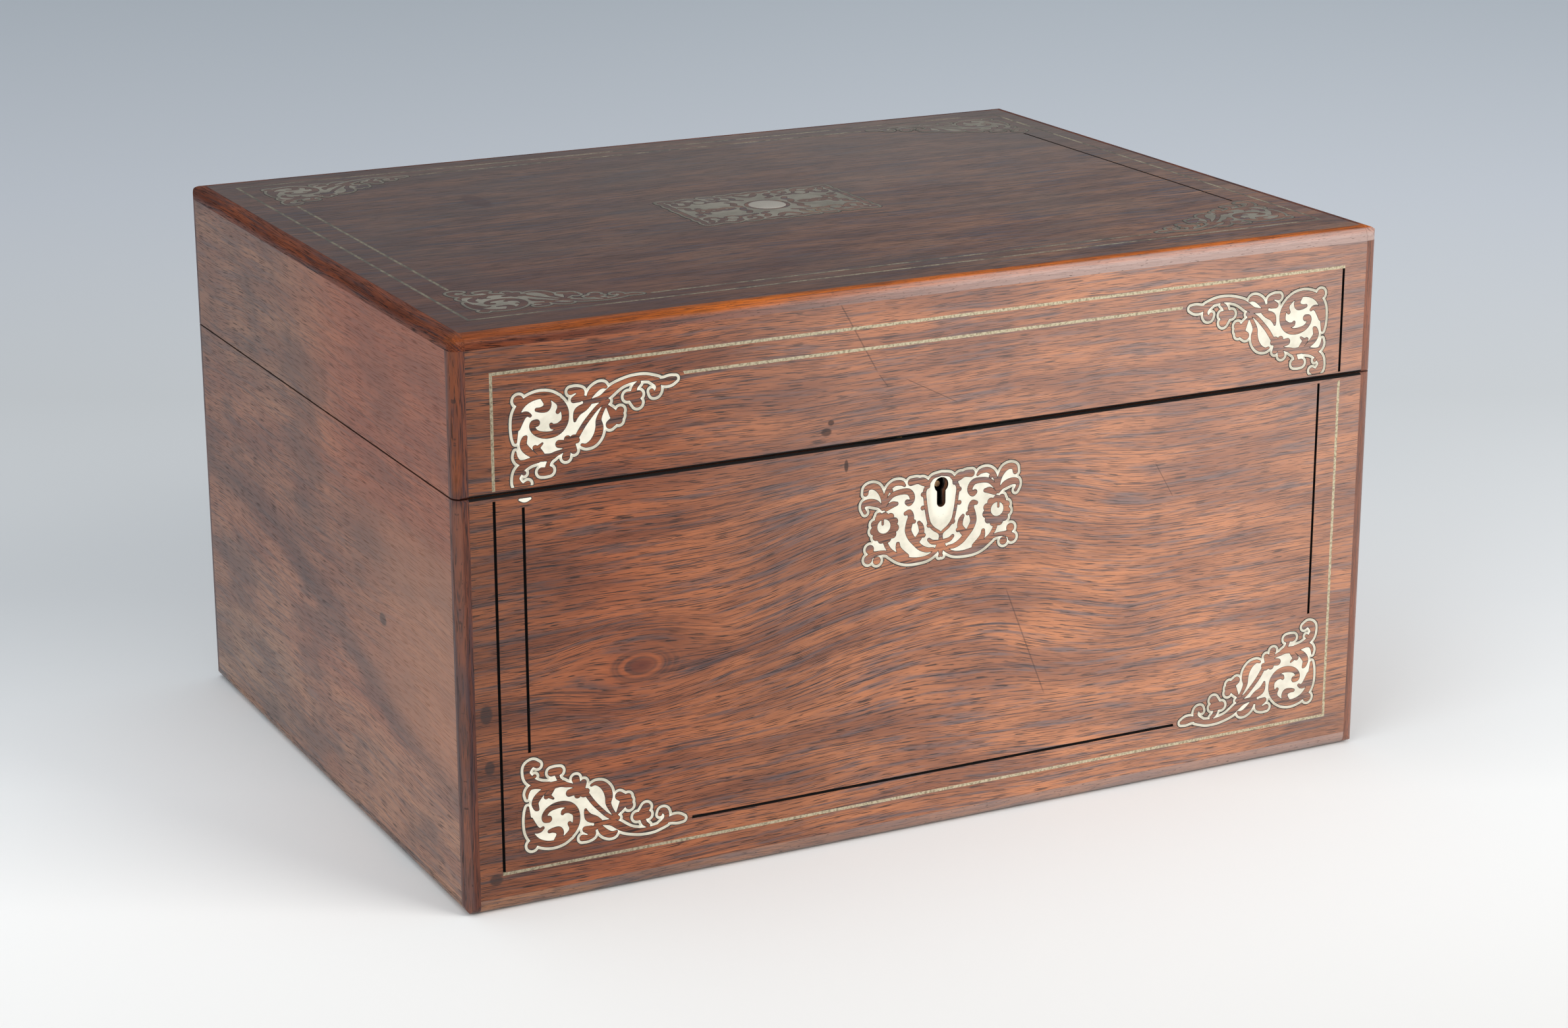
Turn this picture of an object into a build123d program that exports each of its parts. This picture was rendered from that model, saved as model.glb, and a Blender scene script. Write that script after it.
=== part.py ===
from build123d import *
import math
import os

# Rosewood vanity case with pearl inlay, a hinged lid, a lock, a mirror and a fitted lift-out tray.
# Millimetres. Origin under the middle of the whole case, X to the right along the front, Y to the back, Z up.

# Case
case_width = 305.0
case_depth = 228.6
case_height = 168.9
seam_height = 123.1
seam_gap = 0.5
front_ease = 0.45
edge_round = 3.2
edging_width = 4.2

# Wood
veneer_thickness = 1.0
wall_thickness = 8.0
bottom_thickness = 8.0
top_thickness = 8.0
facing_thickness = 1.6

# Inlay
inlay_depth = 0.7
string_width = 0.9
pearl_rim = 0.85
glue_line = 0.12
dot_sides = 6
scroll_sides = 12
leaf_steps = 3
opening_steps = 2

# Front lines, in from the left and right edges, down from the top and up from the bottom
outer_string_left = 11.5
outer_string_right = 12.5
outer_string_top = 11.5
outer_string_bottom = 11.3
inner_string_left = 20.1
inner_string_right = 20.0
inner_string_top = 17.9
inner_string_bottom = 17.7
string_start = 1.4

# Top lines, in from each edge
top_outer_left = 12.0
top_outer_right = 10.4
top_outer_front = 16.2
top_outer_back = 12.0
top_inner_left = 20.0
top_inner_right = 19.0
top_inner_front = 22.8
top_inner_back = 18.6

# Corners of the front spandrels
spandrel_length = 51.6
spandrel_height = 29.4
base_spandrel_left = 17.2
base_spandrel_right = 16.2
base_spandrel_bottom = 15.3
lid_spandrel_left = 16.4
lid_spandrel_right = 17.8
lid_spandrel_top_left = 16.6
lid_spandrel_top_right = 15.8
spandrel_trim = 0.9
sliver_side = 20.6
sliver_drop = 1.6
sliver_length = 3.9

# Corners of the top spandrels
top_spandrel_left = 16.8
top_spandrel_right = 14.8
top_spandrel_front = 20.4
top_spandrel_back = 16.8

# Escutcheon and keyhole
escutcheon_drop = 38.75
lock_side = 151.9
keyhole_radius = 2.35
keyhole_slot = 2.9
keyhole_drop = 6.5
keyhole_rise = 22.7
keyhole_play = 0.25
keyhole_sides = 16
shield_foot = 9.4
shield_shoulder = 20.4
shield_top = 24.0
shield_half = 5.0

# Lock
lock_skin = 1.2
lock_width = 46.0
lock_height = 26.0
lock_depth = 6.4
lock_wall = 0.8
selvedge_width = 56.0
selvedge_thickness = 1.2
eye_offset = 12.0
eye_thickness = 1.6
eye_width = 3.6
eye_drop = 8.5
eye_hole = 4.2
eye_rim = 1.2
eye_play = 0.4
bolt_travel = 4.0
bolt_play = 0.1
bolt_height = 5.4
bolt_nose = 3.4
bolt_nose_depth = 1.2
bolt_post = 4.0
bolt_clear = 0.5
lock_pin_radius = 0.9
lock_pin_setback = 2.4

# Hinges
knuckle_radius = 2.0
hinge_pin_radius = 1.0
pin_play = 0.05
knuckle_play = 0.35
knuckle_gap = 0.3
hinge_length = 42.0
hinge_side = 48.0
hinge_leaf_width = 8.0
hinge_leaf_thickness = 1.2
knuckle_share = 0.34
knuckle_sides = 20

# Lining
lining_thickness = 1.0
floor_lining_thickness = 1.5
mirror_frame_width = 16.0
mirror_frame_depth = 6.0
mirror_thickness = 3.0
mirror_lip = 3.0
mirror_play = 0.3
mirror_setback = 1.4

# Tray
tray_play = 1.0
tray_height = 34.0
tray_drop = 1.5
tray_wall = 3.0
tray_floor_thickness = 2.5
divider_thickness = 2.5
divider_drop = 3.0
tray_velvet_thickness = 1.0
bearer_width = 5.0
bearer_height = 7.0
bearer_gap = 0.2
lift_notch_radius = 9.0

# Jars
jar_size = 52.0
jar_play = 1.6
jar_height = 24.0
jar_wall = 3.0
jar_bevel = 5.0
jar_lid_thickness = 3.4
jar_lid_bevel = 1.2
jar_plug = 2.4
jar_plug_play = 0.5
jar_lid_overhang = 0.5
jar_lid_gap = 0.2

# Places worked out from the sizes
left = -case_width / 2
right = case_width / 2
front = -(case_depth + knuckle_radius) / 2
back = front + case_depth
top = case_height
base_rim = seam_height - seam_gap / 2
lid_rim = seam_height + seam_gap / 2
wood_left = left + veneer_thickness
wood_right = right - veneer_thickness
wood_front = front + veneer_thickness
wood_back = back - veneer_thickness
room_left = wood_left + wall_thickness
room_right = wood_right - wall_thickness
room_front = wood_front + wall_thickness
room_back = wood_back - wall_thickness
base_wall_top = base_rim - facing_thickness
lid_wall_foot = lid_rim + facing_thickness
top_board_top = top - veneer_thickness
ceiling = top_board_top - top_thickness
lock_x = left + lock_side
escutcheon_foot = base_rim - escutcheon_drop
keyhole_z = escutcheon_foot + keyhole_rise


def block(x_low, x_high, y_low, y_high, z_low, z_high):
    """A square-cornered solid between two corners."""
    middle = ((x_low + x_high) / 2, (y_low + y_high) / 2, (z_low + z_high) / 2)
    return Pos(*middle) * Box(x_high - x_low, y_high - y_low, z_high - z_low)


def group(pieces):
    """Separate solids that share one name."""
    return Compound(children=[solid for piece in pieces for solid in piece.solids()])


def mitred_frame(x_low, x_high, y_low, y_high, width, z_low, z_high):
    """Four strips round a rectangle, mitred where they meet."""
    outer = [(x_low, y_low), (x_high, y_low), (x_high, y_high), (x_low, y_high)]
    inner = [
        (x_low + width, y_low + width),
        (x_high - width, y_low + width),
        (x_high - width, y_high - width),
        (x_low + width, y_high - width),
    ]
    strips = []
    for side in range(4):
        following = (side + 1) % 4
        corners = [outer[side], outer[following], inner[following], inner[side], outer[side]]
        outline = make_face(Polyline(corners))
        strips.append(Pos(0, 0, z_low) * extrude(outline, z_high - z_low))
    return strips


# Outer form
def case_form():
    """The whole shut case with its softly rounded edges."""
    whole = block(left, right, front, back, 0, top)
    rounded = [fillet(whole.edges().filter_by(axis), edge_round) for axis in (Axis.X, Axis.Y, Axis.Z)]
    return rounded[0] & rounded[1] & rounded[2]


def edging_bars():
    """Square bars along all twelve outer edges, which every board and veneer makes room for."""
    bars = []
    for x in (left, right - edging_width):
        for y in (front, back - edging_width):
            bars.append(block(x, x + edging_width, y, y + edging_width, 0, top))
    for z in (0, top - edging_width):
        for x in (left, right - edging_width):
            bars.append(block(x, x + edging_width, front, back, z, z + edging_width))
        for y in (front, back - edging_width):
            bars.append(block(left, right, y, y + edging_width, z, z + edging_width))
    return bars


def front_joint_ease():
    """The wedge taken off both front rims, where the joint between lid and base looks wider."""
    half_gap = seam_gap / 2
    mouth = half_gap + 2 * front_ease
    profile = [
        (front - front_ease, seam_height - mouth),
        (front + front_ease, seam_height - half_gap),
        (front + front_ease, seam_height + half_gap),
        (front - front_ease, seam_height + mouth),
        (front - front_ease, seam_height - mouth),
    ]
    outline = make_face(Polyline([Vector(left, y, z) for y, z in profile]))
    return extrude(outline, case_width, dir=(1, 0, 0))


def corner_edging(form, ease, z_low, z_high):
    """Four upright strips at the corners."""
    strips = []
    for x in (left, right - edging_width):
        for y in (front, back - edging_width):
            bar = block(x, x + edging_width, y, y + edging_width, z_low, z_high)
            strips.append((bar & form) - ease)
    return group(strips)


def level_edging(form, z_low, side_front, side_back):
    """Four strips round the top or the bottom, the front and back ones butted between two sides."""
    z_high = z_low + edging_width
    strips = []
    for y in (front, back - edging_width):
        strips.append(block(left + edging_width, right - edging_width, y, y + edging_width, z_low, z_high))
    for x in (left, right - edging_width):
        strips.append(block(x, x + edging_width, side_front, side_back, z_low, z_high))
    return group([strip & form for strip in strips])


# Ornament outlines, flat, to be set on a face
def dot(x, y, radius, sides=dot_sides):
    """A round dot, drawn with few sides."""
    return Pos(x, y) * RegularPolygon(radius, sides)


def leaf(start, middle, end, width, grow=0.0, steps=leaf_steps):
    """A bent leaf, pointed at both ends, widest in its middle; grow makes it larger all round."""
    begin, bend, finish = Vector(*start), Vector(*middle), Vector(*end)
    steer = bend * 2 - (begin + finish) / 2
    begin = begin - (steer - begin).normalized() * grow
    finish = finish + (finish - steer).normalized() * grow
    near_side, far_side = [], []
    for step in range(1, steps):
        t = step / steps
        spot = begin * (1 - t) ** 2 + steer * 2 * t * (1 - t) + finish * t**2
        heading = ((steer - begin) * (1 - t) + (finish - steer) * t).normalized()
        reach = width / 2 * math.sin(math.pi * t) + grow
        near_side.append(spot + Vector(-heading.Y, heading.X) * reach)
        far_side.append(spot - Vector(-heading.Y, heading.X) * reach)
    return make_face(Polyline([begin, *near_side, finish, *reversed(far_side), begin]))


def opening(start, middle, end, width):
    """A bent leaf-shaped opening, drawn with fewer sides."""
    return leaf(start, middle, end, width, steps=opening_steps)


def spandrel_border(grow):
    """Scroll motifs along the edge of a spandrel: crook, stems, leaves, trefoils and buds."""
    motifs = [
        dot(3.2, 3.4, 1.4 + grow),
        dot(3.7, 25.8, 3.0 + grow),
        leaf((1.6, 17.6), (2.0, 20.8), (6.6, 21.2), 1.8, grow),
        dot(10.3, 23.5, 2.2 + grow),
        dot(17.2, 20.4, 1.8 + grow),
        leaf((20.4, 18.4), (26.4, 16.6), (28.8, 8.0), 2.4, grow),
        dot(20.0, 3.6, 2.2 + grow),
        dot(26.4, 3.8, 2.0 + grow),
        leaf((30.0, 5.5), (38.9, 1.2), (47.1, 3.0), 1.8, grow),
        dot(32.4, 11.8, 2.2 + grow),
        dot(38.5, 7.9, 1.6 + grow),
        dot(43.7, 5.5, 1.5 + grow),
        leaf((44.6, 3.0), (47.4, 3.9), (50.0, 2.9), 1.8, grow),
    ]
    return motifs


def spandrel_body(grow):
    """The plain ground of a spandrel: the round scroll and the web between the leaves."""
    web = [
        (1.4, 17.0),
        (3.4, 24.2),
        (9.0, 23.4),
        (18.0, 20.0),
        (28.5, 10.5),
        (32.0, 9.5),
        (46.0, 3.0),
        (32.0, 3.0),
        (29.0, 5.8),
        (18.0, 4.0),
        (1.4, 17.0),
    ]
    return [dot(9.2, 10.2, 9.4 + grow, scroll_sides), make_face(Polyline(web))]


def spandrel_piercing():
    """Openings cut through a spandrel: the ring with its coil, the stems and the larger leaves."""
    ring = dot(9.2, 10.2, 8.4, scroll_sides) - dot(9.2, 10.2, 6.6, scroll_sides)
    return [
        ring,
        opening((17.2, 9.8), (14.6, 14.6), (9.6, 13.7), 2.2),
        opening((12.6, 14.2), (6.9, 13.2), (7.2, 10.0), 2.0),
        opening((12.1, 4.0), (11.6, 7.2), (7.8, 6.2), 1.9),
        opening((2.8, 21.2), (9.6, 21.8), (16.4, 18.4), 2.2),
        opening((8.4, 24.3), (10.5, 24.8), (12.9, 23.2), 2.6),
        opening((17.8, 17.9), (22.4, 11.6), (28.9, 6.6), 1.9),
        opening((21.4, 18.0), (26.4, 16.2), (29.2, 7.0), 2.4),
        opening((22.4, 6.6), (32.1, 5.2), (39.2, 1.6), 2.6),
        dot(32.6, 11.8, 1.9),
        opening((44.6, 3.0), (47.4, 3.9), (50.0, 2.9), 1.8),
    ]


def escutcheon_border(grow):
    """Plumes, daisy, trefoil and swag of one half of the escutcheon."""
    return [
        dot(0, 23.1, 3.2 + grow),
        leaf((4.2, 23.6), (7.4, 25.4), (10.4, 24.2), 1.8, grow),
        leaf((12.6, 24.2), (15.8, 25.3), (18.5, 22.2), 2.0, grow),
        leaf((19.3, 21.4), (22.6, 25.4), (25.6, 22.8), 2.0, grow),
        leaf((19.6, 19.9), (23.4, 21.6), (25.8, 18.8), 2.3, grow),
        dot(23.6, 6.0, 1.5 + grow),
        dot(23.6, 3.2, 1.9 + grow),
        leaf((20.5, 5.0), (9.0, 1.5), (0.0, 3.2), 1.6, grow),
    ]


def escutcheon_body(grow):
    """The plain ground of one half of the escutcheon."""
    web = [
        (0.0, 3.0),
        (9.0, 2.0),
        (20.5, 4.5),
        (23.5, 4.0),
        (22.5, 16.0),
        (24.6, 20.4),
        (19.6, 23.4),
        (17.6, 24.0),
        (10.4, 25.2),
        (0.0, 25.3),
        (0.0, 3.0),
    ]
    return [dot(18.9, 13.0, 5.3 + grow, scroll_sides), make_face(Polyline(web))]


def escutcheon_piercing():
    """Openings cut through one half of the escutcheon."""
    daisy = dot(18.9, 13.0, 4.9, scroll_sides) - dot(18.9, 13.0, 2.3)
    return [
        daisy,
        opening((12.6, 24.2), (15.8, 25.3), (18.5, 22.2), 2.0),
        opening((19.3, 21.4), (22.6, 25.4), (25.6, 22.8), 2.0),
        opening((17.9, 19.8), (13.6, 22.9), (10.4, 19.6), 1.9),
        opening((11.9, 16.4), (11.4, 8.5), (6.6, 6.3), 2.4),
        opening((19.4, 5.4), (9.0, 2.1), (0.3, 3.4), 1.5),
        dot(23.6, 4.2, 1.9),
    ]


def cartouche_border(grow):
    """Plumes and leaves round one quarter of the top cartouche."""
    return [
        dot(4.6, 16.6, 2.0 + grow),
        leaf((10.2, 17.0), (14.4, 19.4), (18.6, 16.8), 1.8, grow),
        leaf((22.6, 15.4), (27.0, 18.8), (30.2, 14.4), 2.2, grow),
        leaf((28.6, 12.6), (30.8, 8.6), (28.8, 4.8), 1.9, grow),
    ]


def cartouche_body(grow):
    """The plain ground of one quarter of the top cartouche."""
    web = [(0, 0), (29, 0), (29, 12.5), (27.5, 16.0), (22, 17), (0, 17), (0, 0)]
    return [dot(18.8, 11.6, 5.3 + grow, scroll_sides), make_face(Polyline(web))]


def cartouche_piercing():
    """Openings cut through one quarter of the top cartouche."""
    daisy = dot(18.8, 11.6, 4.4, scroll_sides) - dot(18.8, 11.6, 2.0)
    return [
        daisy,
        opening((10.2, 17.0), (14.4, 19.4), (18.6, 16.8), 1.8),
        opening((22.6, 15.4), (27.0, 18.8), (30.2, 14.4), 2.2),
        opening((13.0, 8.6), (8.6, 13.4), (2.4, 13.4), 2.0),
        opening((8.4, 3.2), (15.0, 5.4), (22.0, 1.6), 2.2),
    ]


def merged(faces):
    """One flat outline from many that overlap, with every hole filled."""
    joined = Sketch()
    for face in faces:
        joined = joined + face
    filled = Sketch()
    for face in joined.faces():
        filled = filled + make_face(face.outer_wire())
    return filled


def pierced(outline, openings):
    """A flat outline with openings cut through it."""
    for opening in openings:
        outline = outline - opening
    return outline


def mirrored_x(faces):
    """The same flat shapes, turned over left to right."""
    return [mirror(face, about=Plane.YZ) for face in faces]


def mirrored_y(faces):
    """The same flat shapes, turned over top to bottom."""
    return [mirror(face, about=Plane.XZ) for face in faces]


def both_halves(faces):
    """Flat shapes together with their left to right mirror image."""
    return [*faces, *mirrored_x(faces)]


def all_quarters(faces):
    """Flat shapes mirrored both ways."""
    halves = both_halves(faces)
    return [*halves, *mirrored_y(halves)]


def keyhole(play):
    """The keyhole's outline: a round with a slot under it."""
    width = keyhole_slot + 2 * play
    foot = keyhole_rise - keyhole_drop - play
    slot = Pos(0, (keyhole_rise + foot) / 2) * Rectangle(width, keyhole_rise - foot)
    return dot(0, keyhole_rise, keyhole_radius + play, keyhole_sides) + slot


def shield(grow):
    """The keyhole plate's outline: straight shoulders and two bowed sides that meet in a point."""
    half = shield_half + grow
    foot = (0, shield_foot - grow)
    bow = half * 0.72
    bow_height = shield_foot + (shield_shoulder - shield_foot) * 0.35
    right_bow = ThreePointArc(foot, (bow, bow_height), (half, shield_shoulder))
    left_bow = ThreePointArc((-half, shield_shoulder), (-bow, bow_height), foot)
    brow = half * 0.8
    crown = shield_top + grow
    head = Polyline([(half, shield_shoulder), (brow, crown), (-brow, crown), (-half, shield_shoulder)])
    return make_face([right_bow, *head.edges(), left_bow])


# Faces that carry ornament
def front_plane(x, z):
    """A plane on the front face, its Y upward, its normal out of the case."""
    return Plane(origin=(x, front, z), x_dir=(1, 0, 0), z_dir=(0, -1, 0))


def top_plane(x, y):
    """A plane on the top face, its Y to the back, its normal upward."""
    return Plane(origin=(x, y, top), x_dir=(1, 0, 0), z_dir=(0, 0, 1))


def sunk(plane, outline, depth):
    """A flat outline set on a plane and carried down into the wood."""
    return extrude(plane * outline, -depth)


def turned(faces, flip_x, flip_y):
    """Flat shapes, mirrored where a corner asks for it."""
    if flip_x:
        faces = mirrored_x(faces)
    if flip_y:
        faces = mirrored_y(faces)
    return faces


def spandrel_pair(plane, flip_x, flip_y):
    """A spandrel's pearl and the pocket that it lies in."""
    outline = merged(turned(spandrel_border(pearl_rim) + spandrel_body(0), flip_x, flip_y))
    openings = turned(spandrel_piercing(), flip_x, flip_y)
    room = pearl_rim + glue_line
    pocket = merged(turned(spandrel_border(room) + spandrel_body(glue_line), flip_x, flip_y))
    pearl = sunk(plane, pierced(outline, openings), inlay_depth)
    return pearl, sunk(plane, pocket, inlay_depth)


def base_spandrels():
    """The two spandrels at the bottom corners of the front."""
    z = base_spandrel_bottom
    left_pair = spandrel_pair(front_plane(left + base_spandrel_left, z), False, False)
    right_pair = spandrel_pair(front_plane(right - base_spandrel_right, z), True, False)
    return [left_pair, right_pair]


def lid_front_spandrels():
    """The two spandrels on the lid's front, cut off where the lid was sawn from the base."""
    corners = [
        (left + lid_spandrel_left, top - lid_spandrel_top_left, False),
        (right - lid_spandrel_right, top - lid_spandrel_top_right, True),
    ]
    keep_low = lid_rim + front_ease + spandrel_trim
    keep = block(left, right, front, front + inlay_depth, keep_low, top)
    pairs = []
    for x, z, flip in corners:
        pearl, pocket = spandrel_pair(front_plane(x, z), flip, True)
        pairs.append((pearl & keep, pocket & keep))
    return pairs


def lid_top_spandrels():
    """The four spandrels at the corners of the top."""
    pairs = []
    for x, flip_x in ((left + top_spandrel_left, False), (right - top_spandrel_right, True)):
        for y, flip_y in ((front + top_spandrel_front, False), (back - top_spandrel_back, True)):
            pairs.append(spandrel_pair(top_plane(x, y), flip_x, flip_y))
    return pairs


def spandrel_sliver():
    """The end of the lid's left spandrel that stayed on the base when the lid was sawn off."""
    plane = front_plane(left + sliver_side, base_rim - front_ease - sliver_drop)
    half = sliver_length / 2
    chip = leaf((-half, 0.45), (0, -0.15), (half, 0.45), 0.8)
    pocket = leaf((-half, 0.45), (0, -0.15), (half, 0.45), 0.8, glue_line)
    return sunk(plane, chip, inlay_depth), sunk(plane, pocket, inlay_depth)


def escutcheon():
    """The pierced escutcheon, the keyhole plate and their pockets."""
    plane = front_plane(lock_x, escutcheon_foot)
    outline = merged(both_halves(escutcheon_border(pearl_rim) + escutcheon_body(0)))
    openings = both_halves(escutcheon_piercing())
    fret = pierced(outline, [*openings, shield(pearl_rim), keyhole(pearl_rim)])
    plate = shield(0) - keyhole(0)
    room = pearl_rim + glue_line
    pocket = merged(both_halves(escutcheon_border(room) + escutcheon_body(glue_line)))
    return [sunk(plane, part, inlay_depth) for part in (fret, plate, pocket)]


def top_cartouche():
    """The pierced cartouche in the middle of the top, with its round boss, and its pocket."""
    plane = top_plane(0, (front + back) / 2)
    outline = merged(all_quarters(cartouche_border(pearl_rim) + cartouche_body(0)))
    openings = all_quarters(cartouche_piercing())
    eye = dot(0, 0, 7.2, scroll_sides)
    boss = dot(0, 0, 6.0, scroll_sides)
    fret = pierced(outline, [*openings, eye]) + boss
    pocket = merged(all_quarters(cartouche_border(pearl_rim + glue_line) + cartouche_body(glue_line)))
    return sunk(plane, fret, inlay_depth), sunk(plane, pocket, inlay_depth)


# Stringing, each line given by its ends on the face, with the strip there or lost
def front_line(x_low, x_high, z_low, z_high):
    """A groove on the front face between two ends of its middle line."""
    half = string_width / 2
    return block(x_low - half, x_high + half, front, front + inlay_depth, z_low - half, z_high + half)


def top_line(x_low, x_high, y_low, y_high):
    """A groove on the top face between two ends of its middle line."""
    half = string_width / 2
    return block(x_low - half, x_high + half, y_low - half, y_high + half, top - inlay_depth, top)


def lid_front_lines():
    """Grooves on the lid's front: those that keep their strip, and those that lost it."""
    out_left = left + outer_string_left
    out_right = right - outer_string_right
    high = top - outer_string_top
    low = lid_rim + front_ease + string_width
    tip = left + lid_spandrel_left + spandrel_length
    far_tip = right - lid_spandrel_right - spandrel_length
    inner = top - inner_string_top
    kept = [
        front_line(out_left, out_right, high, high),
        front_line(out_left, out_left, low, high - string_width),
        front_line(tip, far_tip, inner, inner),
    ]
    lost = [front_line(out_right, out_right, low, high - string_width)]
    return kept, lost


def base_front_lines():
    """Grooves on the base's front: those that keep their strip, and those that lost it."""
    out_left = left + outer_string_left
    out_right = right - outer_string_right
    in_left = left + inner_string_left
    in_right = right - inner_string_right
    low = outer_string_bottom
    high = base_rim - front_ease - string_start
    start = base_spandrel_bottom + spandrel_height + string_width
    tip = left + base_spandrel_left + spandrel_length
    far_tip = right - base_spandrel_right - spandrel_length
    kept = [
        front_line(out_left, out_right, low, low),
        front_line(out_right, out_right, low + string_width, high),
    ]
    lost = [
        front_line(out_left, out_left, low + string_width, high),
        front_line(in_left, in_left, start, high - string_start * 2),
        front_line(in_right, in_right, start, high),
        front_line(tip, far_tip, inner_string_bottom, inner_string_bottom),
    ]
    return kept, lost


def top_lines():
    """Grooves on the top: those that keep their strip, and those that lost it."""
    out_left = left + top_outer_left
    out_right = right - top_outer_right
    out_front = front + top_outer_front
    out_back = back - top_outer_back
    in_front = front + top_inner_front
    in_back = back - top_inner_back
    low_x = left + top_spandrel_left + spandrel_length
    high_x = right - top_spandrel_right - spandrel_length
    low_y = front + top_spandrel_front + spandrel_height + string_width
    high_y = back - top_spandrel_back - spandrel_height - string_width
    in_left = left + top_inner_left
    in_right = right - top_inner_right
    kept = [
        top_line(out_left, out_right, out_front, out_front),
        top_line(out_left, out_right, out_back, out_back),
        top_line(out_left, out_left, out_front + string_width, out_back - string_width),
        top_line(out_right, out_right, out_front + string_width, out_back - string_width),
        top_line(low_x, high_x, in_front, in_front),
        top_line(low_x, high_x, in_back, in_back),
        top_line(in_left, in_left, low_y, high_y),
    ]
    lost = [top_line(in_right, in_right, low_y, high_y)]
    return kept, lost


# Hinges
def hinge_places():
    """Middle of each hinge along the back."""
    return [left + hinge_side, right - hinge_side]


def along_axis(x_low, x_high, radius):
    """A round bar on the hinge axis."""
    bar = Cylinder(radius, x_high - x_low, rotation=(0, 90, 0))
    return Pos((x_low + x_high) / 2, back, seam_height) * bar


def knuckle_barrel(x_low, x_high):
    """One knuckle's barrel, filed with narrow flats."""
    flats = Plane.YZ * RegularPolygon(knuckle_radius, knuckle_sides)
    return Pos(x_low, back, seam_height) * extrude(flats, x_high - x_low)


def hinge_room():
    """Room for both hinges' knuckles in the back edges of lid and base."""
    half = hinge_length / 2 + knuckle_gap
    return [along_axis(x - half, x + half, knuckle_radius + knuckle_play) for x in hinge_places()]


def knuckle_spans(x):
    """Spans of a hinge's three knuckles, the middle one on the lid."""
    half = hinge_length / 2
    middle = hinge_length * knuckle_share / 2
    return [(x - half, x - middle - knuckle_gap), (x - middle, x + middle), (x + middle + knuckle_gap, x + half)]


def hinge_leaf(x, face, thickness, spans):
    """One leaf with its knuckles, bored for the pin."""
    inner_edge = back - hinge_leaf_width
    outer_edge = back - knuckle_radius - knuckle_play
    low, high = min(face, face + thickness), max(face, face + thickness)
    half = hinge_length / 2
    leaf_plate = block(x - half, x + half, inner_edge, outer_edge, low, high)
    for span_low, span_high in spans:
        leaf_plate += block(span_low, span_high, outer_edge, back, low, high)
        leaf_plate += knuckle_barrel(span_low, span_high)
    return leaf_plate - along_axis(x - half, x + half, hinge_pin_radius + pin_play)


def leaf_mortises(face, thickness):
    """Shallow cuts in a rim for the hinge leaves."""
    low, high = min(face, face + thickness), max(face, face + thickness)
    half = hinge_length / 2
    cuts = []
    for x in hinge_places():
        cuts.append(block(x - half, x + half, back - hinge_leaf_width, back + 1, low, high))
    return cuts


def hinge_pin(x):
    """The pin through all three knuckles."""
    half = hinge_length / 2
    return along_axis(x - half, x + half, hinge_pin_radius)


# Lock
def lock_inner_face():
    """How deep the lock's front plate lies behind the front."""
    return wood_front + lock_skin


def lock_case():
    """The lock's hollow box with its top plate, keyhole and two slots for the link eyes."""
    near = lock_inner_face()
    far = near + lock_depth
    half = lock_width / 2
    high = base_rim - selvedge_thickness
    low = high - lock_height
    shell = block(lock_x - half, lock_x + half, near, far, low, high)
    plate_half = selvedge_width / 2
    shell += block(lock_x - plate_half, lock_x + plate_half, wood_front, room_front, high, base_rim)
    hollow = block(
        lock_x - half + lock_wall,
        lock_x + half - lock_wall,
        near + lock_wall,
        far - lock_wall,
        low + lock_wall,
        high,
    )
    shell -= hollow
    shell -= extrude(front_plane(lock_x, escutcheon_foot) * keyhole(0), -(near - front + lock_wall))
    middle = near + lock_depth / 2
    slot_half = eye_thickness / 2 + eye_play
    slot_depth = eye_width / 2 + eye_play
    for side in (-1, 1):
        x = lock_x + side * eye_offset
        shell -= block(x - slot_half, x + slot_half, middle - slot_depth, middle + slot_depth, high - 1, base_rim)
    return shell


def lock_mortise():
    """Room for the lock in the front wall and in the rim facing."""
    near = lock_inner_face()
    half = lock_width / 2
    high = base_rim - selvedge_thickness
    cut = block(lock_x - half, lock_x + half, near, room_front, high - lock_height, base_rim)
    plate_half = selvedge_width / 2
    return cut + block(lock_x - plate_half, lock_x + plate_half, wood_front, room_front, high, base_rim)


def keyhole_cut():
    """The keyhole through veneer and wall, a little larger than the lock's own."""
    plane = front_plane(lock_x, escutcheon_foot)
    return extrude(plane * keyhole(keyhole_play), -(lock_inner_face() - front))


def lock_pin():
    """The fixed pin that a pipe key turns on."""
    near = lock_inner_face()
    start = front + lock_pin_setback
    end = near + lock_depth - lock_wall
    pin = Cylinder(lock_pin_radius, end - start, rotation=(90, 0, 0))
    return Pos(lock_x, (start + end) / 2, keyhole_z) * pin


def eye_hole_foot():
    """Height of the lower edge of the holes in the link eyes."""
    return lid_rim - eye_drop + eye_rim


def lock_bolt():
    """The sliding bolt: a plate with two posts, each with a nose that goes through a link eye."""
    middle = lock_inner_face() + lock_depth / 2
    half_depth = lock_depth / 2 - lock_wall - bolt_play
    eye_foot = lid_rim - eye_drop
    high = eye_foot - bolt_clear
    low = high - bolt_height
    nose_low = eye_hole_foot() + (eye_hole - bolt_nose) / 2
    nose_high = nose_low + bolt_nose
    post_right = -(eye_thickness / 2 + bolt_clear + bolt_travel)
    start = lock_x - eye_offset + post_right - bolt_post
    end = lock_x + eye_offset + post_right
    bolt = block(start, end, middle - half_depth, middle + half_depth, low, high)
    for side in (-1, 1):
        post_end = lock_x + side * eye_offset + post_right
        nose_end = post_end + bolt_travel
        nose_half = bolt_nose_depth / 2
        bolt += block(post_end - bolt_post, post_end, middle - nose_half, middle + nose_half, high, nose_high)
        bolt += block(post_end, nose_end, middle - nose_half, middle + nose_half, nose_low, nose_high)
    return bolt


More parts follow.
